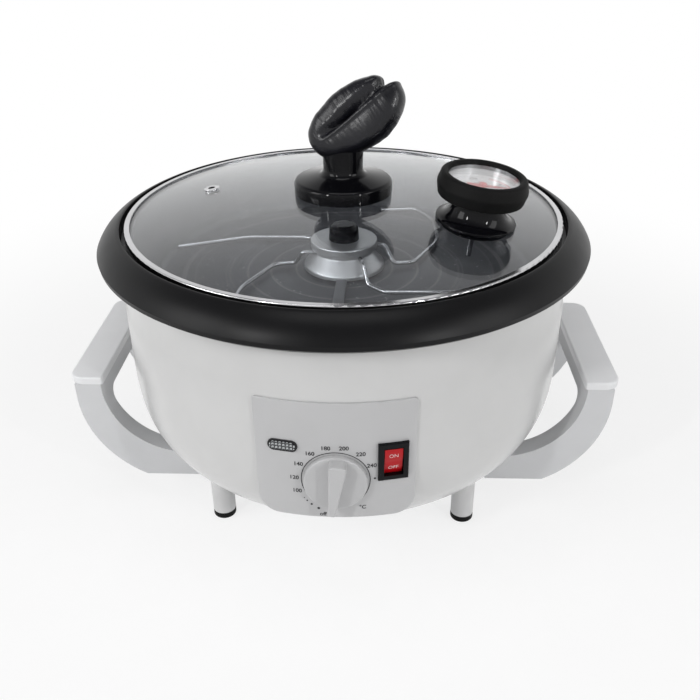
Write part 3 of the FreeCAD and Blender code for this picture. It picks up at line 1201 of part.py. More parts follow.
def lid_glass():
    """Shallow glass dome with holes for the knob's screw, the vent and the thermometer."""
    upper = dome_section(GLASS_RADIUS, 0)
    lower = dome_section(GLASS_RADIUS, GLASS_THICKNESS)
    edges = [
        upper,
        Part.LineSegment(upper.Vertexes[-1].Point, lower.Vertexes[-1].Point).toShape(),
        lower,
        Part.LineSegment(lower.Vertexes[0].Point, upper.Vertexes[0].Point).toShape(),
    ]
    glass = turned_faces(edges)
    bottom = DOME_TOP_Z - 2 * DOME_EDGE_DROP
    vent = polar(VENT_DISTANCE, VENT_ANGLE)
    holes = [
        cylinder(KNOB_SCREW_RADIUS + HOLE_GAP, bottom, DOME_TOP_Z + 5),
        cylinder(VENT_HOLE_RADIUS + LID_BAND_SHEET, bottom, DOME_TOP_Z + 5, vent.x, vent.y),
        on_dome(cylinder(THREAD_RADIUS + HOLE_GAP, -MOUNT_HEIGHT, MOUNT_HEIGHT)),
    ]
    return glass.cut(holes)


def lid_band():
    """Folded steel band that grips the edge of the glass."""
    sheet = LID_BAND_SHEET
    outer = LID_BAND_RADIUS
    lip = outer - LID_LIP
    return turned([
        (lip, LID_BOTTOM_Z, 0), (outer, LID_BOTTOM_Z, sheet),
        (outer, LID_BAND_TOP_Z, sheet), (lip, LID_BAND_TOP_Z, 0),
        (lip, LID_BAND_TOP_Z - sheet, 0), (outer - sheet, LID_BAND_TOP_Z - sheet, 0),
        (outer - sheet, LID_BOTTOM_Z + sheet, 0), (lip, LID_BOTTOM_Z + sheet, 0),
    ])


def vent_grommet():
    """Steel eyelet that lines the steam hole in the glass."""
    top = dome_height(VENT_DISTANCE)
    lean = math.degrees(math.asin(VENT_DISTANCE / DOME_RADIUS))
    sleeve_radius = VENT_HOLE_RADIUS + LID_BAND_SHEET / 2
    sleeve = cylinder(sleeve_radius, -GLASS_THICKNESS - VENT_FLANGE_HEIGHT, VENT_FLANGE_HEIGHT)
    upper = cylinder(VENT_FLANGE_RADIUS, 0, VENT_FLANGE_HEIGHT)
    upper = round_edges(upper, VENT_FLANGE_HEIGHT / 2, lambda e: e.BoundBox.ZMin > VENT_FLANGE_HEIGHT - 0.1)
    under = -GLASS_THICKNESS - VENT_FLANGE_RADIUS ** 2 / (2 * DOME_RADIUS)
    lower = cylinder(VENT_FLANGE_RADIUS, under - VENT_FLANGE_HEIGHT, under)
    grommet = sleeve.fuse([upper, lower])
    grommet = grommet.cut(cylinder(VENT_HOLE_RADIUS - LID_BAND_SHEET, -DOME_EDGE_DROP, DOME_EDGE_DROP))
    grommet.rotate(ORIGIN, polar(1, VENT_ANGLE + 90), lean)
    grommet.translate(polar(VENT_DISTANCE, VENT_ANGLE, top))
    return grommet


# ------------------------------------------------------------------ lid knob
def bean_body():
    """Coffee bean: an ellipsoid with one flattened face, lying along +X, face towards -Y."""
    a = BEAN_HALF_LENGTH
    b = BEAN_HALF_WIDTH
    arc = Part.Ellipse(Vector(a, 0, 0), Vector(0, 0, b), ORIGIN).toShape(0, math.pi)
    section = Part.Face(Part.Wire([arc, Part.LineSegment(Vector(-a, 0, 0), Vector(a, 0, 0)).toShape()]))
    bean = section.revolve(ORIGIN, Vector(1, 0, 0), 360)
    flatten = Matrix()
    flatten.scale(Vector(1, BEAN_HALF_THICKNESS / b, 1))
    bean = bean.transformGeometry(flatten)
    return bean.cut(block((-2 * a, -2 * b, -2 * b), (2 * a, -BEAN_FACE_DEPTH, 2 * b)))


def bean_crease():
    """The wavy groove along the bean's flat face."""
    reach = BEAN_CREASE_REACH * BEAN_HALF_LENGTH
    upper = []
    for index in range(BEAN_CREASE_SPANS + 1):
        share = index / BEAN_CREASE_SPANS
        upper.append(Vector(reach * (2 * share - 1), 0, BEAN_CREASE_SWAY * math.sin(2 * math.pi * share)))
    half = Vector(0, 0, BEAN_CREASE_WIDTH / 2)
    top = Part.BSplineCurve()
    top.interpolate([p + half for p in upper])
    low = Part.BSplineCurve()
    low.interpolate([p - half for p in upper])
    ends = [Part.LineSegment(p - half, p + half).toShape() for p in (upper[0], upper[-1])]
    groove = Part.Face(Part.Wire([top.toShape(), ends[1], low.toShape(), ends[0]]))
    groove.translate(Vector(0, -BEAN_HALF_THICKNESS - 1, 0))
    return groove.extrude(Vector(0, BEAN_HALF_THICKNESS + 1 - BEAN_FACE_DEPTH + BEAN_CREASE_DEPTH, 0))


def placed_bean(shape):
    """Turn the bean to its lean above the knob's neck."""
    roll = Rotation(Vector(1, 0, 0), -BEAN_ROLL)
    lean = Rotation(Vector(0, -1, 0), BEAN_LEAN)
    moved = shape.copy()
    moved.Placement = Placement(Vector(BEAN_X, 0, BEAN_Z), lean.multiply(roll))
    return moved


def bean_grip():
    """The bean-shaped grip of the lid's knob."""
    return placed_bean(bean_body().cut(bean_crease()))


def knob_base():
    """Round foot and neck of the lid's knob; the bean sits in its top."""
    recess = KNOB_BASE_RADIUS - KNOB_BASE_SEAT
    seat = dome_height(recess)
    edge_top = seat + KNOB_BASE_EDGE
    foot_shape = turned([
        (KNOB_SCREW_RADIUS, DOME_TOP_Z, 0),
        (recess, DOME_TOP_Z, 0),
        (recess, seat, 0),
        (KNOB_BASE_RADIUS, seat, KNOB_BASE_FOOT_BEND),
        (KNOB_BASE_RADIUS, edge_top, KNOB_BASE_RIM_BEND),
        (KNOB_NECK_RADIUS, edge_top + KNOB_BASE_SLOPE, KNOB_NECK_BEND),
        (KNOB_NECK_RADIUS + KNOB_NECK_FLARE, KNOB_NECK_TOP_Z, 0),
        (KNOB_SCREW_RADIUS, KNOB_NECK_TOP_Z, 0),
    ])
    return foot_shape.cut(placed_bean(bean_body()))


def knob_washer():
    """Soft washer between the screw's head and the glass."""
    top = dome_height(KNOB_WASHER_RADIUS) - GLASS_THICKNESS
    return tube(KNOB_WASHER_RADIUS, KNOB_SCREW_RADIUS + HOLE_GAP, top - KNOB_WASHER_THICKNESS, top)


def knob_screw():
    """Screw from under the glass up into the knob's neck."""
    seat = dome_height(KNOB_WASHER_RADIUS) - GLASS_THICKNESS - KNOB_WASHER_THICKNESS
    shank = cylinder(KNOB_SCREW_RADIUS, seat, seat + KNOB_SCREW_LENGTH)
    head = cylinder(KNOB_SCREW_HEAD_RADIUS, seat - KNOB_SCREW_HEAD_HEIGHT, seat)
    middle = seat - KNOB_SCREW_HEAD_HEIGHT / 2
    head = round_edges(head, KNOB_SCREW_HEAD_EDGE, lambda e: e.BoundBox.ZMax < middle)
    return head.fuse(shank)


# ------------------------------------------------------------------ lid thermometer
def on_dome(shape):
    """Stand a piece built on the Z axis on the glass, square to its surface."""
    lean = math.degrees(math.asin(THERMO_DISTANCE / DOME_RADIUS))
    moved = shape.copy()
    moved.Placement = Placement(polar(THERMO_DISTANCE, THERMO_ANGLE, dome_height(THERMO_DISTANCE)),
                                Rotation(polar(1, THERMO_ANGLE + 90), lean))
    return moved


def thermo_mount():
    """Black bell-shaped foot between the glass and the thermometer's case."""
    return on_dome(turned([
        (THREAD_RADIUS, 0, 0),
        (MOUNT_FOOT_RADIUS, 0, MOUNT_FOOT_BEND),
        (MOUNT_FOOT_RADIUS, MOUNT_EDGE_HEIGHT, MOUNT_EDGE_RADIUS),
        (MOUNT_TOP_RADIUS, MOUNT_HEIGHT, 0),
        (THREAD_RADIUS, MOUNT_HEIGHT, 0),
    ]))


def thermo_case():
    """Steel cup that carries the dial, conical at the back."""
    bottom = MOUNT_HEIGHT
    top = bottom + CASE_HEIGHT
    sheet = CASE_SHEET
    corner = CASE_CORNER_RADIUS
    return on_dome(turned([
        (STEM_RADIUS, bottom, 0), (CASE_BACK_RADIUS, bottom, corner + sheet / 2),
        (CASE_RADIUS, CASE_CONE_TOP, corner + sheet), (CASE_RADIUS, top, 0), (CASE_RADIUS - sheet, top, 0),
        (CASE_RADIUS - sheet, CASE_CONE_TOP + sheet / 2, corner),
        (CASE_BACK_RADIUS, bottom + sheet, corner / 2), (STEM_RADIUS, bottom + sheet, 0),
    ]))


def thermo_bezel():
    """Black rubber ring round the case, with a lip over the lens."""
    top = LENS_TOP + BEZEL_LIP
    bottom = top - BEZEL_HEIGHT
    return on_dome(turned([
        (CASE_RADIUS, bottom, 0), (BEZEL_RADIUS - BEZEL_BACK_TAPER, bottom, BEZEL_BACK_EDGE),
        (BEZEL_RADIUS, bottom + BEZEL_HEIGHT / 2, BEZEL_SIDE_BEND),
        (BEZEL_RADIUS - BEZEL_FRONT_TAPER, top, BEZEL_FRONT_EDGE),
        (BEZEL_OPENING_RADIUS + BEZEL_OPENING_EDGE, top, BEZEL_OPENING_EDGE),
        (BEZEL_OPENING_RADIUS, LENS_TOP, 0), (CASE_RADIUS, LENS_TOP, 0),
    ]))


def thermo_lens():
    """Clear disc on the edge of the case, held by the bezel's lip."""
    return on_dome(cylinder(CASE_RADIUS, LENS_TOP - LENS_THICKNESS, LENS_TOP))


def thermo_dial():
    """Printed metal disc with a hole for the pointer's shaft."""
    return on_dome(tube(CASE_RADIUS - CASE_SHEET, POINTER_SHAFT_RADIUS + 2 * RUNNING_GAP,
                        DIAL_TOP - DIAL_THICKNESS, DIAL_TOP))


def thermo_pointer():
    """Red pointer with a wide tail, a round hub and its shaft down into the stem."""
    bottom = POINTER_BOTTOM
    waist = POINTER_WAIST_WIDTH / 2
    tail = POINTER_TAIL_WIDTH / 2
    outline = rounded_wire([
        (Vector(POINTER_LENGTH, 0, bottom), POINTER_TIP_RADIUS),
        (Vector(0, waist, bottom), 0),
        (Vector(-POINTER_TAIL, tail, bottom), 0),
        (Vector(-POINTER_TAIL, -tail, bottom), 0),
        (Vector(0, -waist, bottom), 0),
    ])
    hand = Part.Face(outline).extrude(UP * POINTER_SHEET)
    hub = cylinder(POINTER_HUB_RADIUS, bottom, bottom + 3 * POINTER_SHEET)
    shaft = cylinder(POINTER_SHAFT_RADIUS, MOUNT_HEIGHT - STEM_REACH / 2, bottom)
    pointer = hand.fuse([hub, shaft])
    pointer.rotate(ORIGIN, UP, POINTER_REST_ANGLE)
    return on_dome(pointer)


def thermo_stem():
    """Probe tube and the threaded neck that goes through the glass."""
    tube_part = cylinder(STEM_RADIUS, -STEM_REACH, MOUNT_HEIGHT + CASE_SHEET)
    neck = cylinder(THREAD_RADIUS, -GLASS_THICKNESS - THERMO_NUT_HEIGHT - THREAD_PAST_NUT, MOUNT_HEIGHT)
    bore = cylinder(STEM_BORE_RADIUS, -STEM_REACH + STEM_END_WALL, MOUNT_HEIGHT + CASE_SHEET + 1)
    stem = tube_part.fuse(neck)
    stem = round_edges(stem, STEM_RADIUS * 0.6, lambda e: e.BoundBox.ZMax < -STEM_REACH + 0.1)
    return on_dome(stem.cut(bore))


def thermo_nut():
    """Black flanged nut under the glass."""
    top = -GLASS_THICKNESS - THERMO_NUT_RADIUS ** 2 / (2 * DOME_RADIUS)
    bottom = top - THERMO_NUT_HEIGHT
    return on_dome(turned([
        (THREAD_RADIUS, top, 0), (THERMO_NUT_RADIUS, top, 0),
        (THERMO_NUT_RADIUS, top - THERMO_NUT_EDGE, THERMO_NUT_RIM_BEND),
        (THERMO_NUT_CORE_RADIUS, bottom, THERMO_NUT_CORE_BEND),
        (THREAD_RADIUS, bottom, 0),
    ]))


# ------------------------------------------------------------------ every piece by name
def all_pieces():
    """Each node's name with its shape."""
    pieces = {
        "outer_shell": outer_shell(),
        "rim_collar": rim_collar(),
        "base_plate": base_plate(),
        "base_screws": base_screws(),
        "bracket_screws": bracket_screws(),
        "roasting_pan": roasting_pan(),
        "heating_element": heating_element(),
        "heat_shield": heat_shield(),
        "gear_motor": gear_motor(),
        "motor_bracket": motor_bracket(),
        "shaft_bushing": shaft_bushing(),
        "drive_shaft": drive_shaft(),
        "stirrer_hub": stirrer_hub(),
        "hub_nut": hub_nut(),
        "scraper_blade": scraper_blade(),
        "handle_screws": handle_screws(),
        "control_panel": control_panel(),
        "thermostat_body": thermostat_body(),
        "thermostat_shaft": thermostat_shaft(),
        "thermostat_knob": thermostat_knob(),
        "switch_housing": switch_housing(),
        "switch_rocker": switch_rocker(),
        "lamp_housing": lamp_housing(),
        "lamp_lens": lamp_lens(),
        "cord_gland": cord_gland(),
        "lid_glass": lid_glass(),
        "lid_band": lid_band(),
        "vent_grommet": vent_grommet(),
        "knob_base": knob_base(),
        "bean_grip": bean_grip(),
        "knob_washer": knob_washer(),
        "knob_screw": knob_screw(),
        "thermo_mount": thermo_mount(),
        "thermo_case": thermo_case(),
        "thermo_bezel": thermo_bezel(),
        "thermo_lens": thermo_lens(),
        "thermo_dial": thermo_dial(),
        "thermo_pointer": thermo_pointer(),
        "thermo_stem": thermo_stem(),
        "thermo_nut": thermo_nut(),
    }
    handle = right_handle()
    plate = right_grip_plate()
    pieces.update({
        "right_handle": handle, "left_handle": mirrored(handle),
        "right_grip_plate": plate, "left_grip_plate": mirrored(plate),
    })
    long_arm = seated_wire(long_wire())
    hook_arm = seated_wire(hook_wire())
    pieces.update({
        "long_wire_right": long_arm, "long_wire_left": half_turn(long_arm),
        "hook_wire_right": hook_arm, "hook_wire_left": half_turn(hook_arm),
    })
    for name, (x, y) in foot_places().items():
        pieces["foot_" + name] = foot(x, y)
        pieces["foot_pad_" + name] = foot_pad(x, y)
    return pieces


def main():
    """Write one STEP file for each piece."""
    os.makedirs("parts", exist_ok=True)
    for name, shape in all_pieces().items():
        shape.exportStep("parts/" + name + ".step")
        box = shape.BoundBox
        print("%-24s solids %d volume %10.1f valid %s  x %.1f %.1f  y %.1f %.1f  z %.1f %.1f" % (
            name, len(shape.Solids), shape.Volume, shape.isValid(),
            box.XMin, box.XMax, box.YMin, box.YMax, box.ZMin, box.ZMax))


main()
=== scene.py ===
"""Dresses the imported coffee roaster.

It makes the finishes, the fine forms, the printed scales, the stage and the camera. Lengths are in
metres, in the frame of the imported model: +Z is up and the control panel faces -Y.
"""
from __future__ import annotations

import json
import logging
import math
from dataclasses import dataclass, field
from enum import Enum
from typing import Any, Iterable, Sequence

import bmesh
import bpy
from mathutils import Matrix, Vector, noise
from mathutils.bvhtree import BVHTree

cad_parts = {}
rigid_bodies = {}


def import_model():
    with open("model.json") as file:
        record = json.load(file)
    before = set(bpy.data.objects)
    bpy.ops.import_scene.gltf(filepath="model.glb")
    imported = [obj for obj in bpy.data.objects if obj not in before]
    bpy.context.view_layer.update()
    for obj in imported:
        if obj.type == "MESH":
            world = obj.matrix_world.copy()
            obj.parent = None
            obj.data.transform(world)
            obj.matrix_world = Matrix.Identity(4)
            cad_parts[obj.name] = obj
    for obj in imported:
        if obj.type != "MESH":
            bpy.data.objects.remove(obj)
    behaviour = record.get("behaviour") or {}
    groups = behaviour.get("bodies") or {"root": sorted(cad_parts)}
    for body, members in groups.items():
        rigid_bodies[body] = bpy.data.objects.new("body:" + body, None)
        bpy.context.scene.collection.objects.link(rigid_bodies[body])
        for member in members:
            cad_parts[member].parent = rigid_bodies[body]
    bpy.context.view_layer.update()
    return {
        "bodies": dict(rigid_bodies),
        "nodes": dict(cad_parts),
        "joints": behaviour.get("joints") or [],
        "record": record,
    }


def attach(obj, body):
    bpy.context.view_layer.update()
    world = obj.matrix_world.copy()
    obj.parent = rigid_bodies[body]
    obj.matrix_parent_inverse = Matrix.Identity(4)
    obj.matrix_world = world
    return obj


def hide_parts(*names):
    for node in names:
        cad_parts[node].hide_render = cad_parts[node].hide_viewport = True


LOG = logging.getLogger("roaster")
MM = 0.001
TURN = 2 * math.pi

# Meshes: the flats of a turned piece, of a rounding and of a printed ring, dot and letter, the distance
# at which two points are one, and the angle from which an edge is shaded sharp.
LATHE_STEPS = 144
ROUND_STEPS = 5
RING_STEPS = 96
DOT_STEPS = 16
LETTER_STEPS = 4
WELD = 2e-6
SLIVER = WELD / 4
SHARP_EDGE = math.radians(32)

# Print: its height above the surface, and the font size that gives a capital of height 1.
PRINT_LIFT = 0.1 * MM
FONT_SIZE = 1.38

# The Mix node's sockets for colours, by number, because their names are shared with its other kinds.
MIX_FACTOR, MIX_FIRST, MIX_SECOND, MIX_RESULT = 0, 6, 7, 2

# The bean's length leans this far back from level; its form and its wrinkles share the lean.
BEAN_LEAN = math.radians(39)

# A corner belongs to a half section: its radius, its height and its rounding.
Span = tuple[float, float]
Triple = tuple[float, float, float]
Colour = Triple
Corner = Triple


class Body(Enum):
    """The rigid bodies that pieces ride on."""

    BASE = "base"
    STIRRER = "stirrer"
    LID = "lid"
    POINTER = "pointer"
    KNOB = "knob"
    ROCKER = "rocker"


class Slot(Enum):
    """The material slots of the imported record."""

    SHELL = "shell_white"
    COLLAR = "collar_black"
    PLATED = "plated_steel"
    PAN = "pan_coating"
    HEATER = "heater_steel"
    MOTOR = "motor_case"
    BRONZE = "bronze"
    PANEL = "panel_grey"
    SWITCH = "switch_black"
    CLEAR = "lamp_clear"
    GLAND = "gland_black"
    HANDLE = "handle_grey"
    GRIP = "grip_grey"
    WIRE = "stirrer_steel"
    HUB = "hub_steel"
    BLADE = "blade_grey"
    GLASS = "lid_glass"
    BRIGHT = "lid_steel"
    KNOB = "knob_black"
    RUBBER = "soft_rubber"
    DIAL = "dial_silver"
    POINTER = "pointer_red"
    ROCKER = "rocker_red"
    FOOT = "foot_white"


# ---------------------------------------------------------------- shader expressions
class Wire:
    """A shader socket that can be used in an expression; each operator adds a Math node."""

    def __init__(self, graph: Graph, socket: bpy.types.NodeSocket) -> None:
        """Wrap a socket of a graph."""
        self.graph = graph
        self.socket = socket

    def __add__(self, other: Wire | float) -> Wire:
        """Sum."""
        return self.graph.math("ADD", self, other)

    __radd__ = __add__

    def __mul__(self, other: Wire | float) -> Wire:
        """Product."""
        return self.graph.math("MULTIPLY", self, other)

    __rmul__ = __mul__

    def __sub__(self, other: Wire | float) -> Wire:
        """Difference."""
        return self.graph.math("SUBTRACT", self, other)

    def __rsub__(self, other: float) -> Wire:
        """Difference with the number first."""
        return self.graph.math("SUBTRACT", other, self)

    def __pow__(self, other: Wire | float) -> Wire:
        """Power."""
        return self.graph.math("POWER", self, other)

    def __rpow__(self, other: float) -> Wire:
        """Power of a number."""
        return self.graph.math("POWER", other, self)


class Graph:
    """The node tree of one material, with one way to add any node."""

    def __init__(self, tree: bpy.types.NodeTree) -> None:
        """Start from an empty tree."""
        self.tree = tree
        tree.nodes.clear()

    def node(self, kind: str, settings: dict[str, Any] | None = None,
             inputs: dict[str | int, Any] | None = None) -> bpy.types.Node:
        """Add a node.

        Args:
            kind: the node's type name.
            settings: attributes set first, such as an operation.
            inputs: values or wires by socket name or number.

        Returns:
            The new node.
        """
        made = self.tree.nodes.new(kind)
        for name, value in (settings or {}).items():
            setattr(made, name, value)
        for name, value in (inputs or {}).items():
            socket = made.inputs[name]
            if isinstance(value, Wire):
                self.tree.links.new(value.socket, socket)
            else:
                socket.default_value = value
        return made

    def out(self, node: bpy.types.Node, name: str | int = 0) -> Wire:
        """One output of a node as a wire."""
        return Wire(self, node.outputs[name])

    def math(self, operation: str, *values: Wire | float) -> Wire:
        """Add a Math node on wires or numbers."""
        inputs = dict(enumerate(values))
        return self.out(self.node("ShaderNodeMath", {"operation": operation}, inputs))

    def place(self) -> Wire:
        """Object coordinates, in metres."""
        return self.out(self.node("ShaderNodeTexCoord"), "Object")

    def split(self, vector: Wire) -> tuple[Wire, Wire, Wire]:
        """The three parts of a vector."""
        made = self.node("ShaderNodeSeparateXYZ", None, {0: vector})
        return self.out(made, 0), self.out(made, 1), self.out(made, 2)

    def join(self, x: Wire | float, y: Wire | float, z: Wire | float) -> Wire:
        """A vector from three parts."""
        return self.out(self.node("ShaderNodeCombineXYZ", None, {0: x, 1: y, 2: z}))

    def polar(self, place: Wire) -> tuple[Wire, Wire]:
        """The distance from the upright axis, and the height."""
        x, y, z = self.split(place)
        return (x * x + y * y) ** 0.5, z

    def noise(self, vector: Wire, scale: float, detail: float = 3.0, roughness: float = 0.55) -> Wire:
        """Noise from 0 to 1; the scale is in features per metre."""
        inputs = {"Vector": vector, "Scale": scale, "Detail": detail, "Roughness": roughness}
        return self.out(self.node("ShaderNodeTexNoise", None, inputs), "Fac")

    def ramp(self, value: Wire, low: float, high: float) -> Wire:
        """A value spread from 0 at low to 1 at high, with soft ends."""
        settings = {"interpolation_type": "SMOOTHSTEP"}
        return self.out(self.node("ShaderNodeMapRange", settings, {0: value, 1: low, 2: high}))

    def mix(self, factor: Wire | float, first: Wire | Colour, second: Wire | Colour) -> Wire:
        """Mix two colours.

        Args:
            factor: 0 for the first colour, 1 for the second.
            first: a colour, or a wire that carries one.
            second: the same for the other end.

        Returns:
            The mixed colour.
        """
        ends = [end if isinstance(end, Wire) else (*end, 1.0) for end in (first, second)]
        made = self.node("ShaderNodeMix", {"data_type": "RGBA"}, {
            MIX_FACTOR: factor, MIX_FIRST: ends[0], MIX_SECOND: ends[1]})
        return self.out(made, MIX_RESULT)

    def seen(self) -> Wire:
        """A mask for what the camera sees, also in reflections and through clear glass.

        Returns:
            1 for what is seen, and 0 for the light on the object.
        """
        path = self.node("ShaderNodeLightPath")
        camera, glossy, through = (self.out(path, f"Is {kind} Ray")
                                   for kind in ("Camera", "Glossy", "Transmission"))
        return self.math("MAXIMUM", self.math("MAXIMUM", camera, glossy), through)

    def bump(self, height: Wire, depth: float) -> Wire:
        """A normal from a height that runs from 0 to 1 over a depth in metres."""
        inputs = {"Height": height, "Distance": depth, "Strength": 1.0}
        return self.out(self.node("ShaderNodeBump", None, inputs))

    def surface(self, shader: bpy.types.Node, output: str = "ShaderNodeOutputMaterial") -> None:
        """Send a shader to the tree's output."""
        self.node(output, None, {"Surface": self.out(shader)})


# ---------------------------------------------------------------- finishes
@dataclass(frozen=True)
class Finish:
    """A moulded, painted or bare surface: its colour, gloss, mottle and fine texture.

    A grain or a scale is in features per metre, and a range says where a mask starts and where it is full.
    """

    name: str
    colour: Colour
    roughness: float = 0.45
    metallic: float = 0.0
    coat: float = 0.0
    grain: float = 900.0
    grain_depth: float = 0.03 * MM
    mottle: float = 0.05
    smudge: float = 0.08
    specular: float = 0.5
    mottle_scale: float = 38.0
    mottle_range: Span = (0.3, 0.7)
    smudge_scale: float = 65.0
    coat_roughness: float = 0.08

    def material(self) -> bpy.types.Material:
        """Make the material, or find it where it has been made.

        Returns:
            The one material of this name.
        """
        known = bpy.data.materials.get(self.name)
        if known is not None:
            return known
        made = bpy.data.materials.new(self.name)
        made.use_nodes = True
        made.diffuse_color = (*self.colour, 1.0)
        self.shade(Graph(made.node_tree))
        return made

    def shade(self, graph: Graph) -> None:
        """Build the node tree.

        Args:
            graph: the material's tree.
        """
        place = graph.place()
        graph.surface(graph.node("ShaderNodeBsdfPrincipled", None, {
            "Base Color": self.tint(graph, place),
            "Roughness": self.gloss(graph, place),
            "Normal": self.relief(graph, place),
            "Metallic": self.metallic,
            "Coat Weight": self.coat,
            "Coat Roughness": self.coat_roughness,
            "Specular IOR Level": self.specular,
        }))

    def tint(self, graph: Graph, place: Wire) -> Wire:
        """Colour with a slow, faint mottle.

        Args:
            graph: the material's tree.
            place: object coordinates.

        Returns:
            The colour.
        """
        dark = tuple(part * (1 - self.mottle) for part in self.colour)
        light = tuple(min(1.0, part * (1 + self.mottle)) for part in self.colour)
        return graph.mix(graph.ramp(graph.noise(place, self.mottle_scale), *self.mottle_range), dark, light)

    def gloss(self, graph: Graph, place: Wire) -> Wire:
        """Roughness with smudges the size of a fingertip."""
        patches = graph.noise(place, self.smudge_scale, detail=4.0)
        return patches * self.smudge + (self.roughness - self.smudge / 2)

    def relief(self, graph: Graph, place: Wire) -> Wire:
        """Fine grain of the surface."""
        return graph.bump(graph.noise(place, self.grain, detail=2.0), self.grain_depth)


@dataclass(frozen=True)
class TurnedMetal(Finish):
    """Metal with fine tool rings about the upright axis."""

    rings: float = 1600.0

    def relief(self, graph: Graph, place: Wire) -> Wire:
        """Rings whose spacing is broken by noise.

        Args:
            graph: the material's tree.
            place: object coordinates.

        Returns:
            The normal.
        """
        radius, height = graph.polar(place)
        wave = graph.noise(graph.join(radius, 0.0, height), self.rings, detail=2.0, roughness=0.7)
        return graph.bump(wave, self.grain_depth)


@dataclass(frozen=True)
class DrawnMetal(Finish):
    """Metal with fine lines along X, where its noise is stretched."""

    stretch: Triple = (0.04, 1.0, 1.0)

    def relief(self, graph: Graph, place: Wire) -> Wire:
        """Noise stretched along the rolling direction."""
        stretched = graph.out(graph.node("ShaderNodeMapping", None, {"Vector": place, "Scale": self.stretch}))
        return graph.bump(graph.noise(stretched, self.grain, detail=3.0), self.grain_depth)


@dataclass(frozen=True)
class NonStickCoat(Finish):
    """Dark coating with pale flecks and worn rings where the stirrer runs."""

    fleck: Colour = (0.33, 0.33, 0.34)
    fleck_scale: float = 420.0
    fleck_edge: Span = (0.12, 0.24)
    fleck_patches: float = 260.0
    patch_range: Span = (0.58, 0.66)
    worn: Colour = (0.2, 0.19, 0.185)
    worn_share: float = 0.6
    track_scale: float = 190.0
    track_range: Span = (0.5, 0.75)
    track_height: float = 1.5 * MM
    floor_height: float = 140.0 * MM

    def tint(self, graph: Graph, place: Wire) -> Wire:
        """Flecks, and rubbed tracks low in the pan.

        Args:
            graph: the material's tree.
            place: object coordinates.

        Returns:
            The colour.
        """
        cells = graph.node("ShaderNodeTexVoronoi", None, {"Vector": place, "Scale": self.fleck_scale})
        outside = graph.ramp(graph.out(cells, "Distance"), *self.fleck_edge)
        patches = graph.ramp(graph.noise(place, self.fleck_patches, detail=1.0), *self.patch_range)
        radius, height = graph.polar(place)
        rings = graph.noise(graph.join(radius, 0.0, 0.0), self.track_scale, detail=3.0)
        tracks = graph.ramp(rings, *self.track_range)
        above = graph.ramp(height, self.floor_height, self.floor_height + self.track_height)
        rubbed = graph.mix(tracks * (1 - above) * self.worn_share, super().tint(graph, place), self.worn)
        return graph.mix((1 - outside) * patches, rubbed, self.fleck)


@dataclass(frozen=True)
class BeanSkin(Finish):
    """Glossy black skin with the fine wrinkles of a roasted bean."""

    lean: float = BEAN_LEAN
    stretch: Triple = (1.0, 0.25, 0.16)
    wrinkle_scale: float = 210.0
    grain_share: float = 0.05

    def relief(self, graph: Graph, place: Wire) -> Wire:
        """Wrinkles across the bean's length over a fine grain.

        Args:
            graph: the material's tree.
            place: object coordinates.

        Returns:
            The normal.
        """
        turned = graph.node("ShaderNodeMapping", {"vector_type": "TEXTURE"}, {
            "Vector": place, "Rotation": (0.0, -self.lean, 0.0)})
        stretched = graph.node("ShaderNodeMapping", None, {
            "Vector": graph.out(turned), "Scale": self.stretch})
        wrinkles = graph.noise(graph.out(stretched), self.wrinkle_scale)
        grain = graph.noise(place, self.grain, detail=2.0)
        return graph.bump(wrinkles + grain * self.grain_share, self.grain_depth)


@dataclass(frozen=True)
class ClearFinish(Finish):
    """Clear glass or moulding that lets light through to what is under it."""

    index: float = 1.5
    smear: float = 0.02
    smear_scale: float = 24.0
    smear_range: Span = (0.45, 0.8)

    def shade(self, graph: Graph) -> None:
        """Refracting glass whose shadow is faint.

        Args:
            graph: the material's tree.
        """
        patches = graph.ramp(graph.noise(graph.place(), self.smear_scale, detail=5.0), *self.smear_range)
        glass = graph.node("ShaderNodeBsdfPrincipled", None, {
            "Base Color": (*self.colour, 1.0), "Roughness": patches * self.smear + self.roughness,
            "IOR": self.index, "Transmission Weight": 1.0,
        })
        through = graph.node("ShaderNodeBsdfTransparent", None, {"Color": (*self.colour, 1.0)})
        path = graph.node("ShaderNodeLightPath")
        graph.surface(graph.node("ShaderNodeMixShader", None, {
            0: graph.out(path, "Is Shadow Ray"), 1: graph.out(glass), 2: graph.out(through)}))


@dataclass(frozen=True)
class CrossRibbed(Finish):
    """Opaque stand-in for a clear prism lens: painted glints on its small prisms, parted both ways by lines
    of painted shade.
    """

    pitch: float = 1.9 * MM
    groove: Colour = (0.035, 0.037, 0.04)
    stud_range: Span = (-0.7, 0.1)

    def tint(self, graph: Graph, place: Wire) -> Wire:
        """Painted glint studs on a ground of painted shade.

        Args:
            graph: the material's tree.
            place: object coordinates.

        Returns:
            The colour.
        """
        x, _, z = graph.split(place)
        across = graph.ramp(graph.math("SINE", x * (TURN / self.pitch)), *self.stud_range)
        upright = graph.ramp(graph.math("SINE", z * (TURN / self.pitch)), *self.stud_range)
        return graph.mix(across * upright, self.groove, self.colour)


@dataclass(frozen=True)
class StageFinish(Finish):
    """Pale paper floor that keeps the object's shadow and fades to white."""

    lift: float = 0.75
    fade_range: Span = (0.2, 0.62)

    def shade(self, graph: Graph) -> None:
        """Diffuse paper mixed with an even white for the camera, for reflections and through clear glass.

        Args:
            graph: the material's tree.
        """
        place = graph.place()
        paper = graph.node("ShaderNodeBsdfDiffuse", None, {"Color": self.tint(graph, place)})
        white = graph.node("ShaderNodeEmission", None, {"Color": (1.0, 1.0, 1.0, 1.0), "Strength": 1.0})
        away = graph.ramp(graph.polar(place)[0], *self.fade_range)
        whiteness = graph.seen() * (away * (1 - self.lift) + self.lift)
        graph.surface(graph.node("ShaderNodeMixShader", None, {
            0: whiteness, 1: graph.out(paper), 2: graph.out(white)}))


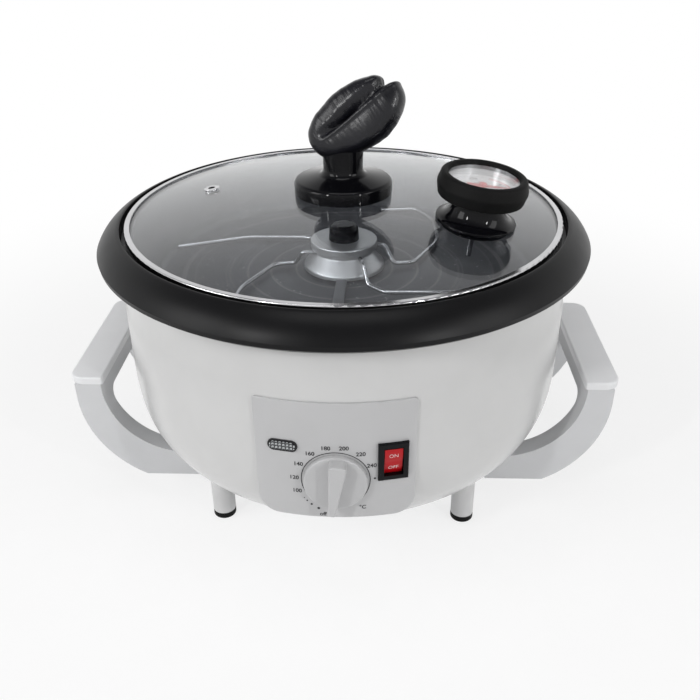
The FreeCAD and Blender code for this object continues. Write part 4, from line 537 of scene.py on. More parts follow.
ENAMEL = Finish("white_enamel", (0.58, 0.58, 0.577), 0.22, grain=320.0, grain_depth=0.012 * MM,
                mottle=0.015, smudge=0.06)
PANEL_MOULDING = Finish("panel_moulding", (0.48, 0.48, 0.485), 0.34, grain=1400.0, grain_depth=0.01 * MM,
                        mottle=0.015)
HANDLE_MOULDING = Finish("handle_moulding", (0.6, 0.605, 0.615), 0.42, grain=1400.0, grain_depth=0.02 * MM,
                         mottle=0.02)
GRIP_MOULDING = Finish("grip_moulding", (0.76, 0.765, 0.775), 0.3, grain=1200.0, grain_depth=0.015 * MM,
                       mottle=0.015)
FOOT_MOULDING = Finish("foot_moulding", (0.6, 0.6, 0.6), 0.45, grain=1200.0)
COLLAR_MOULDING = Finish("collar_moulding", (0.004, 0.004, 0.0045), 0.36, grain=1500.0, grain_depth=0.02 * MM,
                         mottle=0.15, specular=0.14)
GLOSS_BLACK = Finish("gloss_black", (0.003, 0.003, 0.004), 0.07, grain=400.0, grain_depth=0.002 * MM,
                     mottle=0.1, smudge=0.05, specular=0.16)
SATIN_BLACK = Finish("satin_black", (0.008, 0.008, 0.009), 0.4, grain=1400.0, mottle=0.1, specular=0.3)
BEAN_BLACK = BeanSkin("bean_black", (0.005, 0.005, 0.0075), 0.25, grain=1500.0, grain_depth=0.6 * MM,
                      mottle=0.3, smudge=0.1, specular=0.34)
RUBBER_BLACK = Finish("rubber_black", (0.003, 0.003, 0.003), 0.62, grain=1800.0, grain_depth=0.05 * MM,
                      mottle=0.2, specular=0.12)
PAN_COAT = NonStickCoat("pan_coat", (0.032, 0.032, 0.035), 0.42, grain=1700.0, grain_depth=0.05 * MM,
                        mottle=0.1)
PLATED = DrawnMetal("plated_sheet", (0.5, 0.51, 0.53), 0.38, 1.0, grain=900.0, grain_depth=0.02 * MM)
HEATER = Finish("heater_sheath", (0.2, 0.17, 0.15), 0.5, 0.9, grain=700.0, mottle=0.35)
MOTOR = Finish("motor_lacquer", (0.25, 0.27, 0.3), 0.35, coat=0.3, grain=500.0)
BRONZE = TurnedMetal("bush_bronze", (0.45, 0.28, 0.13), 0.4, 1.0)
WIRE_STEEL = Finish("wire_steel", (0.55, 0.55, 0.56), 0.2, 1.0, grain=1500.0, grain_depth=0.01 * MM)
HUB_STEEL = TurnedMetal("hub_steel", (0.06, 0.06, 0.063), 0.5, grain_depth=0.05 * MM, specular=0.25)
BLADE_STEEL = DrawnMetal("blade_steel", (0.24, 0.24, 0.25), 0.42, 1.0, grain_depth=0.03 * MM)
BRIGHT_STEEL = TurnedMetal("bright_steel", (0.58, 0.58, 0.59), 0.16, 1.0, grain_depth=0.008 * MM)
LID_GLASS = ClearFinish("dome_glass", (0.87, 0.89, 0.91), 0.0)
LENS_CLEAR = ClearFinish("lens_clear", (0.95, 0.95, 0.95), 0.06, smear=0.1)
# Painted glint and painted shade: the clear lamp lens is drawn opaque, with pale studs for the glints of its
# prisms and dark lines for the shade between them.
LAMP_LENS_PAINTED_GLINT = CrossRibbed("lamp_lens_painted_glint", (0.55, 0.57, 0.58), 0.22, grain=900.0, grain_depth=0.006 * MM)
DIAL_PAINT = Finish("dial_paint", (0.66, 0.67, 0.68), 0.34, 0.35, grain=1500.0, grain_depth=0.01 * MM,
                    mottle=0.02)
POINTER_PAINT = Finish("pointer_paint", (0.42, 0.02, 0.018), 0.35)
ROCKER_RED = Finish("rocker_moulding", (0.42, 0.002, 0.006), 0.3, grain=500.0, grain_depth=0.006 * MM,
                    mottle=0.03, specular=0.3)
PRINT_BLACK = Finish("print_black", (0.012, 0.012, 0.014), 0.5, grain=2000.0, grain_depth=0.01 * MM)
PRINT_WHITE = Finish("print_white", (0.85, 0.83, 0.82), 0.45, grain=2000.0, grain_depth=0.01 * MM)
PRINT_RED = Finish("print_red", (0.6, 0.02, 0.02), 0.45, grain=2000.0, grain_depth=0.01 * MM)
PAPER = StageFinish("stage_paper", (0.9, 0.9, 0.9), mottle=0.01)


# ---------------------------------------------------------------- mesh making
def lathe(outline: Sequence[Corner], steps: int = LATHE_STEPS) -> bmesh.types.BMesh:
    """Spin a half section about the Z axis.

    Args:
        outline: corners as (radius, height, rounding); the last one joins the first.
        steps: flats around the turn.

    Returns:
        A closed mesh whose faces point outwards.
    """
    mesh = bmesh.new()
    verts = [mesh.verts.new((radius, 0.0, height)) for radius, height, _ in outline]
    for first, second in zip(verts, verts[1:] + verts[:1]):
        mesh.edges.new((first, second))
    roundings = [(vert, corner[2]) for vert, corner in zip(verts, outline) if corner[2] > 0]
    for vert, rounding in roundings:
        ends = [edge.other_vert(vert).co - vert.co for edge in vert.link_edges]
        offset = rounding / math.tan(ends[0].angle(ends[1]) / 2)
        bmesh.ops.bevel(mesh, geom=[vert], offset=offset, offset_type="OFFSET", segments=ROUND_STEPS,
                        profile=0.5, affect="VERTICES", material=-1)
    geometry = list(mesh.verts) + list(mesh.edges)
    bmesh.ops.spin(mesh, geom=geometry, cent=(0, 0, 0), axis=(0, 0, 1), angle=TURN, steps=steps,
                   use_merge=True)
    weld(mesh)
    bmesh.ops.recalc_face_normals(mesh, faces=mesh.faces)
    return mesh


def weld(mesh: bmesh.types.BMesh) -> None:
    """Merge doubled points and drop the faces that vanish."""
    bmesh.ops.remove_doubles(mesh, verts=mesh.verts, dist=WELD)
    bmesh.ops.dissolve_degenerate(mesh, edges=mesh.edges, dist=SLIVER)


def shade_round(mesh: bmesh.types.BMesh, limit: float) -> None:
    """Smooth shading with sharp edges.

    Args:
        mesh: the mesh to shade.
        limit: the angle between faces from which their edge is sharp.
    """
    for face in mesh.faces:
        face.smooth = True
    for edge in mesh.edges:
        edge.smooth = edge.calc_face_angle(math.pi) < limit if len(edge.link_faces) == 2 else True


def join(meshes: Iterable[bmesh.types.BMesh]) -> bmesh.types.BMesh:
    """Put several meshes together.

    Args:
        meshes: the parts; they are freed.

    Returns:
        One mesh.
    """
    whole = bmesh.new()
    for part in meshes:
        data = bpy.data.meshes.new("part")
        part.to_mesh(data)
        part.free()
        whole.from_mesh(data)
        bpy.data.meshes.remove(data)
    return whole


def moved(mesh: bmesh.types.BMesh, matrix: Matrix) -> bmesh.types.BMesh:
    """The same mesh, put in place."""
    bmesh.ops.transform(mesh, matrix=matrix, verts=mesh.verts)
    return mesh


def lettering(text: str, height: float, weight: float = 0.03) -> bmesh.types.BMesh:
    """Flat letters in the XZ plane, centred on the origin, to be read from -Y.

    Args:
        text: what is written.
        height: height of a capital.
        weight: how far the strokes are thickened, as a share of the height.

    Returns:
        A flat triangle mesh.
    """
    curve = bpy.data.curves.new("letters", "FONT")
    curve.body = text
    curve.size = height * FONT_SIZE
    curve.align_x = "CENTER"
    curve.align_y = "CENTER"
    curve.resolution_u = LETTER_STEPS
    curve.offset = height * weight
    holder = bpy.data.objects.new("letters", curve)
    data = bpy.data.meshes.new_from_object(holder)
    mesh = bmesh.new()
    mesh.from_mesh(data)
    bpy.data.objects.remove(holder)
    bpy.data.curves.remove(curve)
    bpy.data.meshes.remove(data)
    bmesh.ops.triangulate(mesh, faces=mesh.faces)
    return moved(mesh, Matrix.Rotation(math.pi / 2, 4, "X"))


def ring_mark(inner: float, outer: float, start: float = 0.0, end: float = TURN,
              steps: int = RING_STEPS) -> bmesh.types.BMesh:
    """Flat ring or arc in the XZ plane, to be read from -Y.

    Args:
        inner: its inner radius.
        outer: its outer radius.
        start: where an arc starts, clockwise from the top.
        end: where it ends.
        steps: flats along it.

    Returns:
        A flat mesh.
    """
    mesh = bmesh.new()
    verts = [mesh.verts.new((math.sin(start) * radius, 0.0, math.cos(start) * radius))
             for radius in (inner, outer)]
    edge = mesh.edges.new(verts)
    sweep = end - start
    bmesh.ops.spin(mesh, geom=[*verts, edge], cent=(0, 0, 0), axis=(0, 1, 0), angle=sweep, steps=steps,
                   use_merge=math.isclose(sweep, TURN))
    weld(mesh)
    return mesh


def round_dot(radius: float) -> bmesh.types.BMesh:
    """Flat disc in the XZ plane.

    Args:
        radius: its radius.

    Returns:
        A flat mesh.
    """
    mesh = bmesh.new()
    bmesh.ops.create_circle(mesh, cap_ends=True, segments=DOT_STEPS, radius=radius)
    return moved(mesh, Matrix.Rotation(math.pi / 2, 4, "X"))


def tick_mark(inner: float, outer: float, width: float, angle: float) -> bmesh.types.BMesh:
    """Flat radial line in the XZ plane, to be read from -Y.

    Args:
        inner: the radius where it starts.
        outer: the radius where it ends.
        width: its width.
        angle: its place, clockwise from the top.

    Returns:
        A flat mesh.
    """
    mesh = bmesh.new()
    bmesh.ops.create_grid(mesh, x_segments=1, y_segments=1, size=0.5)
    length = outer - inner
    shape = Matrix.Diagonal((width, length, 1.0, 1.0))
    stand = Matrix.Rotation(math.pi / 2, 4, "X")
    lift = Matrix.Translation((0, 0, inner + length / 2))
    return moved(mesh, Matrix.Rotation(angle, 4, "Y") @ lift @ stand @ shape)


def press_onto(marks: bmesh.types.BMesh, target: bpy.types.Object, direction: Vector) -> bmesh.types.BMesh:
    """Lay flat marks on a surface.

    Args:
        marks: flat mesh in front of the surface.
        target: the piece that is printed on.
        direction: the way from the marks to the surface.

    Returns:
        The marks, a hair above the surface.
    """
    surface = bmesh.new()
    surface.from_mesh(target.data)
    tree = BVHTree.FromBMesh(surface)
    way = direction.normalized()
    for vert in marks.verts:
        hit = tree.ray_cast(vert.co, way)[0]
        if hit is not None:
            vert.co = hit - way * PRINT_LIFT
    surface.free()
    bmesh.ops.recalc_face_normals(marks, faces=marks.faces)
    for face in marks.faces:
        if face.normal.dot(way) > 0:
            face.normal_flip()
    return marks


# ---------------------------------------------------------------- pieces
def placed(name: str, data: bpy.types.ID) -> bpy.types.Object:
    """Put a mesh, a light or a camera into the scene.

    Args:
        name: the object's name.
        data: what it shows.

    Returns:
        The new object.
    """
    made = bpy.data.objects.new(name, data)
    bpy.context.scene.collection.objects.link(made)
    return made


def covered(name: str, mesh: bmesh.types.BMesh, finish: Finish) -> bpy.types.Object:
    """Make an object of a mesh.

    Args:
        name: the object's name.
        mesh: its mesh, in place; it is freed.
        finish: what it is covered with.

    Returns:
        The new object.
    """
    data = bpy.data.meshes.new(name)
    mesh.to_mesh(data)
    mesh.free()
    data.materials.append(finish.material())
    return placed(name, data)


class Workshop:
    """Turns finished meshes into pieces of the scene."""

    def __init__(self, frame: dict[str, Any]) -> None:
        """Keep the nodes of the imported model, with the body and the slot of each.
        """
        self.nodes: dict[str, bpy.types.Object] = frame["nodes"]
        self.body_of = {node: body for body, members in frame["record"]["behaviour"]["bodies"].items()
                        for node in members}
        self.slot_of = {part["node"]: part["material_slot"] for part in frame["record"]["subparts"]}

    def piece(self, name: str, mesh: bmesh.types.BMesh, finish: Finish, body: Body,
              stands_for: Sequence[str] = (), limit: float = SHARP_EDGE) -> bpy.types.Object:
        """Make a piece that rides on a body.

        Args:
            name: the piece's name.
            mesh: its mesh, in place; it is freed.
            finish: what it is covered with.
            body: the body that carries it.
            stands_for: the nodes it replaces.
            limit: the angle from which an edge is shaded sharp.

        Returns:
            The new object.
        """
        shade_round(mesh, limit)
        made = covered(name, mesh, finish)
        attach(made, body.value)
        if stands_for:
            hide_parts(*stands_for)
        LOG.info("%s: %d faces", name, len(made.data.polygons))
        return made

    def refined(self, node: str, finish: Finish, limit: float = SHARP_EDGE) -> bpy.types.Object:
        """A welded, smoothly shaded piece on a node's own form.

        Args:
            node: the node that it stands for.
            finish: what it is covered with.
            limit: the angle from which an edge is shaded sharp.

        Returns:
            The new object.
        """
        mesh = bmesh.new()
        mesh.from_mesh(self.nodes[node].data)
        weld(mesh)
        return self.piece(node + "_skin", mesh, finish, Body(self.body_of[node]),
                          (node,), limit)

    def refine_all(self, finishes: dict[str, Finish]) -> None:
        """Make a refined piece for each node that is named with its finish."""
        for node, finish in finishes.items():
            self.refined(node, finish)


# ---------------------------------------------------------------- the bowl and what stands under it
@dataclass
class Bowl:
    """The white bowl with its collar, handles, base and feet."""

    rim_radius: float = 145.0 * MM
    rim_height: float = 166.7 * MM
    mouth_radius: float = 131.0 * MM
    mouth_rounding: float = 0.4 * MM
    lip_width: float = 1.2 * MM
    top: float = 179.0 * MM
    underside: float = 161.8 * MM
    ledge: float = 171.0 * MM
    spigot_bottom: float = 160.0 * MM
    bore_radius: float = 126.5 * MM
    neck_radius: float = 132.6 * MM
    crown: float = 1.6 * MM
    crown_steps: int = 12
    turn_steps: int = 192
    skirt_inset: float = 0.5 * MM
    skirt_drop: float = 2.7 * MM
    skirt_taper: float = 3.3 * MM
    skirt_rounding: float = 0.6 * MM
    shell_edge: float = math.radians(40)
    collar_edge: float = math.radians(28)

    def build(self, shop: Workshop) -> None:
        """Make every piece of the bowl.

        Args:
            shop: what makes the pieces.
        """
        shop.refined("outer_shell", ENAMEL, self.shell_edge)
        shop.piece("collar_ring", self.collar(), COLLAR_MOULDING, Body.BASE, ("rim_collar",),
                   self.collar_edge)
        for side in ("left", "right"):
            shop.refine_all({side + "_handle": HANDLE_MOULDING, side + "_grip_plate": GRIP_MOULDING})
        for corner in ("front_left", "front_right", "rear_left", "rear_right"):
            shop.refine_all({"foot_" + corner: FOOT_MOULDING, "foot_pad_" + corner: RUBBER_BLACK})
        shop.refine_all({
            "base_plate": PLATED,
            "cord_gland": SATIN_BLACK,
            "base_screws": PLATED,
            "bracket_screws": PLATED,
            "handle_screws": PLATED,
        })

    def collar(self) -> bmesh.types.BMesh:
        """The black ring, whose crowned face is an arc from the lip to the rim.

        Returns:
            Its mesh, in place.
        """
        lip = Vector((self.mouth_radius + self.lip_width, self.top))
        rim = Vector((self.rim_radius, self.rim_height))
        chord = rim - lip
        outward = Vector((-chord.y, chord.x)).normalized()
        outward = outward if outward.x > 0 else -outward
        face = []
        for index in range(self.crown_steps + 1):
            share = index / self.crown_steps
            bulge = 4 * share * (1 - share) * self.crown
            point = lip + chord * share + outward * bulge
            face.append((point.x, point.y, 0.0))
        return lathe([
            (self.neck_radius, self.underside, 0.0),
            (self.neck_radius, self.ledge, 0.0),
            (self.bore_radius, self.spigot_bottom, 0.0),
            (self.bore_radius, self.ledge, self.mouth_rounding),
            (self.mouth_radius, self.ledge, 0.0),
            (self.mouth_radius, self.top, self.mouth_rounding),
            *face,
            (self.rim_radius - self.skirt_inset, self.rim_height - self.skirt_drop, 0.0),
            (self.rim_radius - self.skirt_taper, self.underside, self.skirt_rounding),
        ], self.turn_steps)


class Works:
    """The pan, the heater and the drive under it."""

    def build(self, shop: Workshop) -> None:
        """Dress every inner piece.

        Args:
            shop: what makes the pieces.
        """
        shop.refine_all({
            "roasting_pan": PAN_COAT,
            "heating_element": HEATER,
            "heat_shield": PLATED,
            "gear_motor": MOTOR,
            "motor_bracket": PLATED,
            "shaft_bushing": BRONZE,
            "thermostat_body": PLATED,
        })


@dataclass
class Stirrer:
    """The turning hub with its nut, wires and scraper."""

    wire_edge: float = math.radians(60)

    def build(self, shop: Workshop) -> None:
        """Dress the hub, the shaft, the scraper and the four wires.

        Args:
            shop: what makes the pieces.
        """
        shop.refine_all({
            "stirrer_hub": HUB_STEEL,
            "hub_nut": GLOSS_BLACK,
            "drive_shaft": WIRE_STEEL,
            "scraper_blade": BLADE_STEEL,
        })
        for arm in ("long_wire", "hook_wire"):
            for side in ("left", "right"):
                shop.refined(arm + "_" + side, WIRE_STEEL, self.wire_edge)


# ---------------------------------------------------------------- the lid
@dataclass
class Lid:
    """Glass dome in a folded steel band, with its vent."""

    band_radius: float = 128.4 * MM
    band_sheet: float = 0.8 * MM
    dome_top: float = 191.0 * MM
    edge_drop: float = 13.1 * MM
    glass_edge: float = math.radians(25)

    @property
    def glass_radius(self) -> float:
        """Radius of the glass's edge."""
        return self.band_radius - self.band_sheet

    @property
    def dome_radius(self) -> float:
        """Radius of the sphere that the glass is part of."""
        return (self.glass_radius ** 2 + self.edge_drop ** 2) / (2 * self.edge_drop)

    def height(self, distance: float) -> float:
        """Height of the glass's upper face at a distance from the middle."""
        return self.dome_top - self.dome_radius + math.sqrt(self.dome_radius ** 2 - distance ** 2)

    def build(self, shop: Workshop) -> None:
        """Dress the glass, the band, the vent and the knob's fastening.

        Args:
            shop: what makes the pieces.
        """
        shop.refined("lid_glass", LID_GLASS, self.glass_edge)
        shop.refine_all({
            "lid_band": BRIGHT_STEEL,
            "vent_grommet": BRIGHT_STEEL,
            "knob_washer": RUBBER_BLACK,
            "knob_screw": PLATED,
        })


@dataclass(frozen=True)
class Crease:
    """The bean's crease: its lower side is steep and ends in a raised lip.

    Places along the bean run from -1 to 1, and places across the crease are in widths from its middle.
    """

    width: float = 2.9 * MM
    flare: float = 0.35
    depth: float = 6.4 * MM
    tilt: float = 2.2 * MM
    rise: float = 3.6 * MM
    steepness: float = 1.9
    wrap: float = 2.2
    over_end: float = 0.7
    tail_end: float = -0.7
    fade: float = 5.0
    lip: float = 0.7 * MM
    lip_at: float = -2.1
    lip_spread: float = 0.8
    bead_depth: float = 1.5 * MM
    bead_scale: float = 480.0

    def depth_at(self, point: Vector, along: float, front: float) -> float:
        """How far the skin is pushed in.

        Args:
            point: a point of the drawn-out sphere.
            along: its place along the bean.
            front: how far it is to the front, from 0 to 1.

        Returns:
            The depth, which is below zero on the lip.
        """
        across = (point.z - self.rise - self.tilt * along) / (self.width * (1 + self.flare * along))
        side = across if across > 0 else across * self.steepness
        shown = min(1.0, front * self.wrap + max(0.0, along - self.over_end) * self.fade)
        shown *= min(1.0, max(0.0, (along - self.tail_end) * self.fade))
        beads = self.bead_depth * noise.noise(point * self.bead_scale)
        lip = self.lip * math.exp(-((side - self.lip_at) / self.lip_spread) ** 2)
        return shown * ((self.depth + beads) * math.exp(-side * side) - lip)


@dataclass
class BeanKnob:
    """The lid's knob: a round foot and neck that carry a bean-shaped grip."""

    half_length: float = 32.5 * MM
    half_width: float = 19.5 * MM
    half_thickness: float = 16.5 * MM
    face_depth: float = 11.5 * MM
    face_softness: float = 1.25
    centre: Vector = field(default_factory=lambda: Vector((7.5, 0.0, 231.6)) * MM)
    lean: float = BEAN_LEAN
    roll: float = math.radians(25)
    crease: Crease = Crease()
    under_cut: float = 0.2
    under_cut_at: float = -0.45
    under_cut_spread: float = 0.55
    tail_start: float = 0.15
    tail_rise: float = 5.0 * MM
    tail_short: float = 0.1
    wrinkle: float = 0.3 * MM
    ripple_scale: Triple = (240.0, 60.0, 70.0)
    coarse_scale: float = 90.0
    shrink: float = 0.985
    subdivisions: int = 6
    smoothing: float = 0.5
    grip_edge: float = math.radians(70)
    neck_radius: float = 11.5 * MM
    neck_flare: float = 0.4 * MM
    neck_top: float = 219.5 * MM
    neck_bend: float = 4.0 * MM
    foot_radius: float = 28.8 * MM
    foot_edge: float = 8.0 * MM
    foot_slope: float = 3.2 * MM
    foot_seat: float = 3.0 * MM
    seat_rounding: float = 0.8 * MM
    edge_rounding: float = 2.4 * MM
    bore_radius: float = 2.5 * MM

    def build(self, shop: Workshop, lid: Lid) -> None:
        """Make the foot and the bean.

        Args:
            shop: what makes the pieces.
            lid: the lid that it stands on.
        """
        shop.piece("knob_foot_and_neck", self.foot(lid), GLOSS_BLACK, Body.LID, ("knob_base",))
        shop.piece("coffee_bean_grip", self.bean(), BEAN_BLACK, Body.LID, ("bean_grip",),
                   self.grip_edge)

    def foot(self, lid: Lid) -> bmesh.types.BMesh:
        """Round foot that sweeps up into the neck; the bean closes its top.

        Args:
            lid: the lid that it stands on.

        Returns:
            Its mesh, in place.
        """
        recess = self.foot_radius - self.foot_seat
        seat = lid.height(recess)
        edge = seat + self.foot_edge
        return lathe([
            (self.bore_radius, lid.dome_top, 0.0),
            (recess, lid.dome_top, 0.0),
            (recess, seat, 0.0),
            (self.foot_radius, seat, self.seat_rounding),
            (self.foot_radius, edge, self.edge_rounding),
            (self.neck_radius, edge + self.foot_slope, self.neck_bend),
            (self.neck_radius + self.neck_flare, self.neck_top, 0.0),
            (self.bore_radius, self.neck_top, 0.0),
        ])

    def bean(self) -> bmesh.types.BMesh:
        """A sphere drawn out to a bean, with its face flattened, creased and wrinkled.

        Returns:
            Its mesh, in place.
        """
        mesh = bmesh.new()
        bmesh.ops.create_icosphere(mesh, subdivisions=self.subdivisions, radius=1.0)
        size = (self.half_length, self.half_thickness, self.half_width)
        bmesh.ops.scale(mesh, vec=size, verts=mesh.verts)
        for vert in mesh.verts:
            vert.co = self.shaped(vert.co)
        bmesh.ops.smooth_vert(mesh, verts=mesh.verts, factor=self.smoothing, use_axis_x=True, use_axis_y=True,
                              use_axis_z=True)
        bmesh.ops.recalc_face_normals(mesh, faces=mesh.faces)
        place = (Matrix.Translation(self.centre) @ Matrix.Rotation(-self.lean, 4, "Y")
                 @ Matrix.Rotation(-self.roll, 4, "X"))
        return moved(mesh, place)

    def shaped(self, point: Vector) -> Vector:
        """Where a point of the drawn-out sphere goes on the bean.

        Args:
            point: the point, before the bean is leant and rolled.

        Returns:
            Its new place.
        """
        along = point.x / self.half_length
        front = max(0.0, -point.y / self.half_thickness)
        out = Vector(point)
        if front > 0:
            flat = self.face_depth / self.half_thickness
            out.y = (-self.half_thickness * flat * math.tanh(front / flat * self.face_softness)
                     / math.tanh(self.face_softness / flat))
        out -= out.normalized() * self.crease.depth_at(point, along, front)
        if out.z < 0:
            away = (along - self.under_cut_at) / self.under_cut_spread
            out.z *= 1 - self.under_cut * math.exp(-away ** 2)
        tail = max(0.0, -along - self.tail_start)
        out.z += self.tail_rise * tail * tail
        out.x *= 1 - self.tail_short * tail
        ripple = noise.noise(Vector([part * scale for part, scale in zip(point, self.ripple_scale)]))
        coarse = noise.noise(point * self.coarse_scale)
        return out * (self.shrink + (ripple + coarse) * self.wrinkle / self.half_width)


@dataclass(frozen=True)
class DialScale:
    """One scale of the thermometer's dial: its ring, its ticks, its numbers and its unit.

    Its degree and its zero are given in degrees Fahrenheit.
    """

    unit: str
    ring: Span
    readings: range
    tick_start: float
    tick_width: float
    long_start: float
    long_width: float
    numbers: range
    number_radius: float
    number_height: float
    unit_radius: float
    unit_height: float
    long_every: int = 50
    degree: float = 1.0
    zero: float = 0.0

    def fahrenheit(self, reading: float) -> float:
        """A reading of this scale in degrees Fahrenheit."""
        return reading * self.degree + self.zero


@dataclass
class LidThermometer:
    """The dial thermometer that stands on the glass.

    The middle reading, in degrees Fahrenheit, is at the top of the dial. Each unit of it takes up the same
    angle, in degrees.
    """

    edge_inset: float = 45.5 * MM
    bearing: float = math.radians(-24.5)
    foot_radius: float = 22.5 * MM
    foot_edge: float = 1.5 * MM
    foot_rounding: float = 0.3 * MM
    flare_steps: int = 14
    waist_radius: float = 14.5 * MM
    waist_height: float = 13.1 * MM
    thread_radius: float = 5.0 * MM
    lens_top: float = 24.8 * MM
    lens_thickness: float = 1.2 * MM
    dial_depth: float = 6.0 * MM
    degrees_per_unit: float = 0.7
    middle_reading: float = 321.4
    upside_down_from: float = math.pi / 2 + 0.3
    roast_band: Span = (16.9 * MM, 17.7 * MM)
    roast_range: Span = (350.0, 430.0)
    roast_steps: int = 24
    outer_scale: DialScale = DialScale(
        "°F", ring=(17.9 * MM, 18.1 * MM), readings=range(120, 521, 10),
        tick_start=17.1 * MM, tick_width=0.16 * MM, long_start=16.3 * MM, long_width=0.28 * MM,
        numbers=range(200, 501, 100), number_radius=14.4 * MM, number_height=2.6 * MM,
        unit_radius=14.0 * MM, unit_height=2.4 * MM)
    inner_scale: DialScale = DialScale(
        "°C", ring=(11.9 * MM, 12.05 * MM), readings=range(50, 251, 10),
        tick_start=11.3 * MM, tick_width=0.18 * MM, long_start=10.8 * MM, long_width=0.18 * MM,
        numbers=range(50, 251, 50), number_radius=8.9 * MM, number_height=1.8 * MM,
        unit_radius=8.0 * MM, unit_height=2.2 * MM, degree=1.8, zero=32.0)

    def build(self, shop: Workshop, lid: Lid) -> None:
        """Dress the case and print the dial.

        Args:
            shop: what makes the pieces.
            lid: the lid that it stands on.
        """
        shop.refine_all({
            "thermo_case": BRIGHT_STEEL,
            "thermo_bezel": RUBBER_BLACK,
            "thermo_lens": LENS_CLEAR,
            "thermo_stem": BRIGHT_STEEL,
            "thermo_nut": GLOSS_BLACK,
            "thermo_pointer": POINTER_PAINT,
        })
        dial = shop.refined("thermo_dial", DIAL_PAINT)
        stand = self.stand(lid)
        # Painted reflection: the foot is gloss black so that it stands for the dark reflection of the bezel
        # in the glass.
        shop.piece("thermometer_foot_painted_reflection", moved(self.foot(), stand), GLOSS_BLACK, Body.LID,
                   ("thermo_mount",))
        down = -(stand.to_3x3() @ Vector((0, 0, 1)))
        prints = {
            "dial_black_print": (self.black_marks(), PRINT_BLACK, Slot.KNOB),
            "dial_red_print": (self.red_marks(), PRINT_RED, Slot.POINTER),
        }
        for name, (marks, finish, slot) in prints.items():
            laid = press_onto(moved(marks, stand @ self.lay_down()), dial, down)
            shop.piece(name, laid, finish, Body.LID)

    def foot(self) -> bmesh.types.BMesh:
        """Foot that sweeps out from a waist under the case to a thin round edge.

        Returns:
            Its mesh, standing on the origin.
        """
        flare = [(self.thread_radius, 0.0, 0.0), (self.foot_radius, 0.0, self.foot_rounding),
                 (self.foot_radius, self.foot_edge, self.foot_rounding)]
        for index in range(1, self.flare_steps + 1):
            turn = math.pi / 2 * index / self.flare_steps
            radius = self.foot_radius - (self.foot_radius - self.waist_radius) * math.sin(turn)
            height = self.foot_edge + (self.waist_height - self.foot_edge) * (1 - math.cos(turn))
            flare.append((radius, height, 0.0))
        flare.append((self.thread_radius, self.waist_height, 0.0))
        return lathe(flare)

    def stand(self, lid: Lid) -> Matrix:
        """Where the thermometer's axis stands on the glass.

        Args:
            lid: the lid that it stands on.

        Returns:
            The way from the origin to its foot.
        """
        distance = lid.glass_radius - self.edge_inset
        lean = math.asin(distance / lid.dome_radius)
        outward = Matrix.Rotation(self.bearing, 4, "Z")
        return (outward @ Matrix.Translation((distance, 0, lid.height(distance)))
                @ Matrix.Rotation(lean, 4, "Y") @ outward.inverted())

    def lay_down(self) -> Matrix:
        """From the upright XZ plane to just above the dial."""
        height = self.lens_top - self.lens_thickness - self.dial_depth / 2
        return Matrix.Translation((0, 0, height)) @ Matrix.Rotation(-math.pi / 2, 4, "X")

    def angle(self, fahrenheit: float) -> float:
        """Angle of a reading, clockwise from the top."""
        return math.radians((fahrenheit - self.middle_reading) * self.degrees_per_unit)

    def black_marks(self) -> bmesh.types.BMesh:
        """Both scales: degrees Fahrenheit outside, degrees Celsius inside.

        Returns:
            Their marks in the XZ plane.
        """
        scales = (self.outer_scale, self.inner_scale)
        marks = [ring_mark(*scale.ring) for scale in scales]
        for scale in scales:
            marks.extend(self.ticks(scale))
        for scale in scales:
            marks.extend(self.number(str(reading), scale.number_radius, scale.number_height,
                                     self.angle(scale.fahrenheit(reading))) for reading in scale.numbers)
        marks.extend(self.number(scale.unit, scale.unit_radius, scale.unit_height, math.pi)
                     for scale in scales)
        return join(marks)

    def ticks(self, scale: DialScale) -> list[bmesh.types.BMesh]:
        """The ticks of a scale, which are longer at its main readings.

        Args:
            scale: the scale they belong to.

        Returns:
            Their marks in the XZ plane.
        """
        marks = []
        for reading in scale.readings:
            long = reading % scale.long_every == 0
            start = scale.long_start if long else scale.tick_start
            width = scale.long_width if long else scale.tick_width
            marks.append(tick_mark(start, scale.ring[0], width, self.angle(scale.fahrenheit(reading))))
        return marks

    def red_marks(self) -> bmesh.types.BMesh:
        """The band where beans roast."""
        start, end = (self.angle(reading) for reading in self.roast_range)
        return ring_mark(*self.roast_band, start, end, self.roast_steps)

    def number(self, text: str, radius: float, height: float, angle: float) -> bmesh.types.BMesh:
        """A number on the scale's circle, its head outwards, or inwards near the bottom.

        Args:
            text: what is written.
            radius: radius of the circle.
            height: height of a figure.
            angle: its place, clockwise from the top.

        Returns:
            Its mesh in the XZ plane.
        """
        turn = Matrix.Rotation(angle, 4, "Y") @ Matrix.Translation((0, 0, radius))
        if abs(angle) > self.upside_down_from:
            turn = turn @ Matrix.Rotation(math.pi, 4, "Y")
        return moved(lettering(text, height), turn)


# ---------------------------------------------------------------- the control panel
@dataclass(frozen=True)
class PanelWord:
    """A word of the panel's scale, its angle clockwise from the top, in degrees, and its circle's radius."""

    text: str
    degrees: float
    radius: float = 21.6 * MM


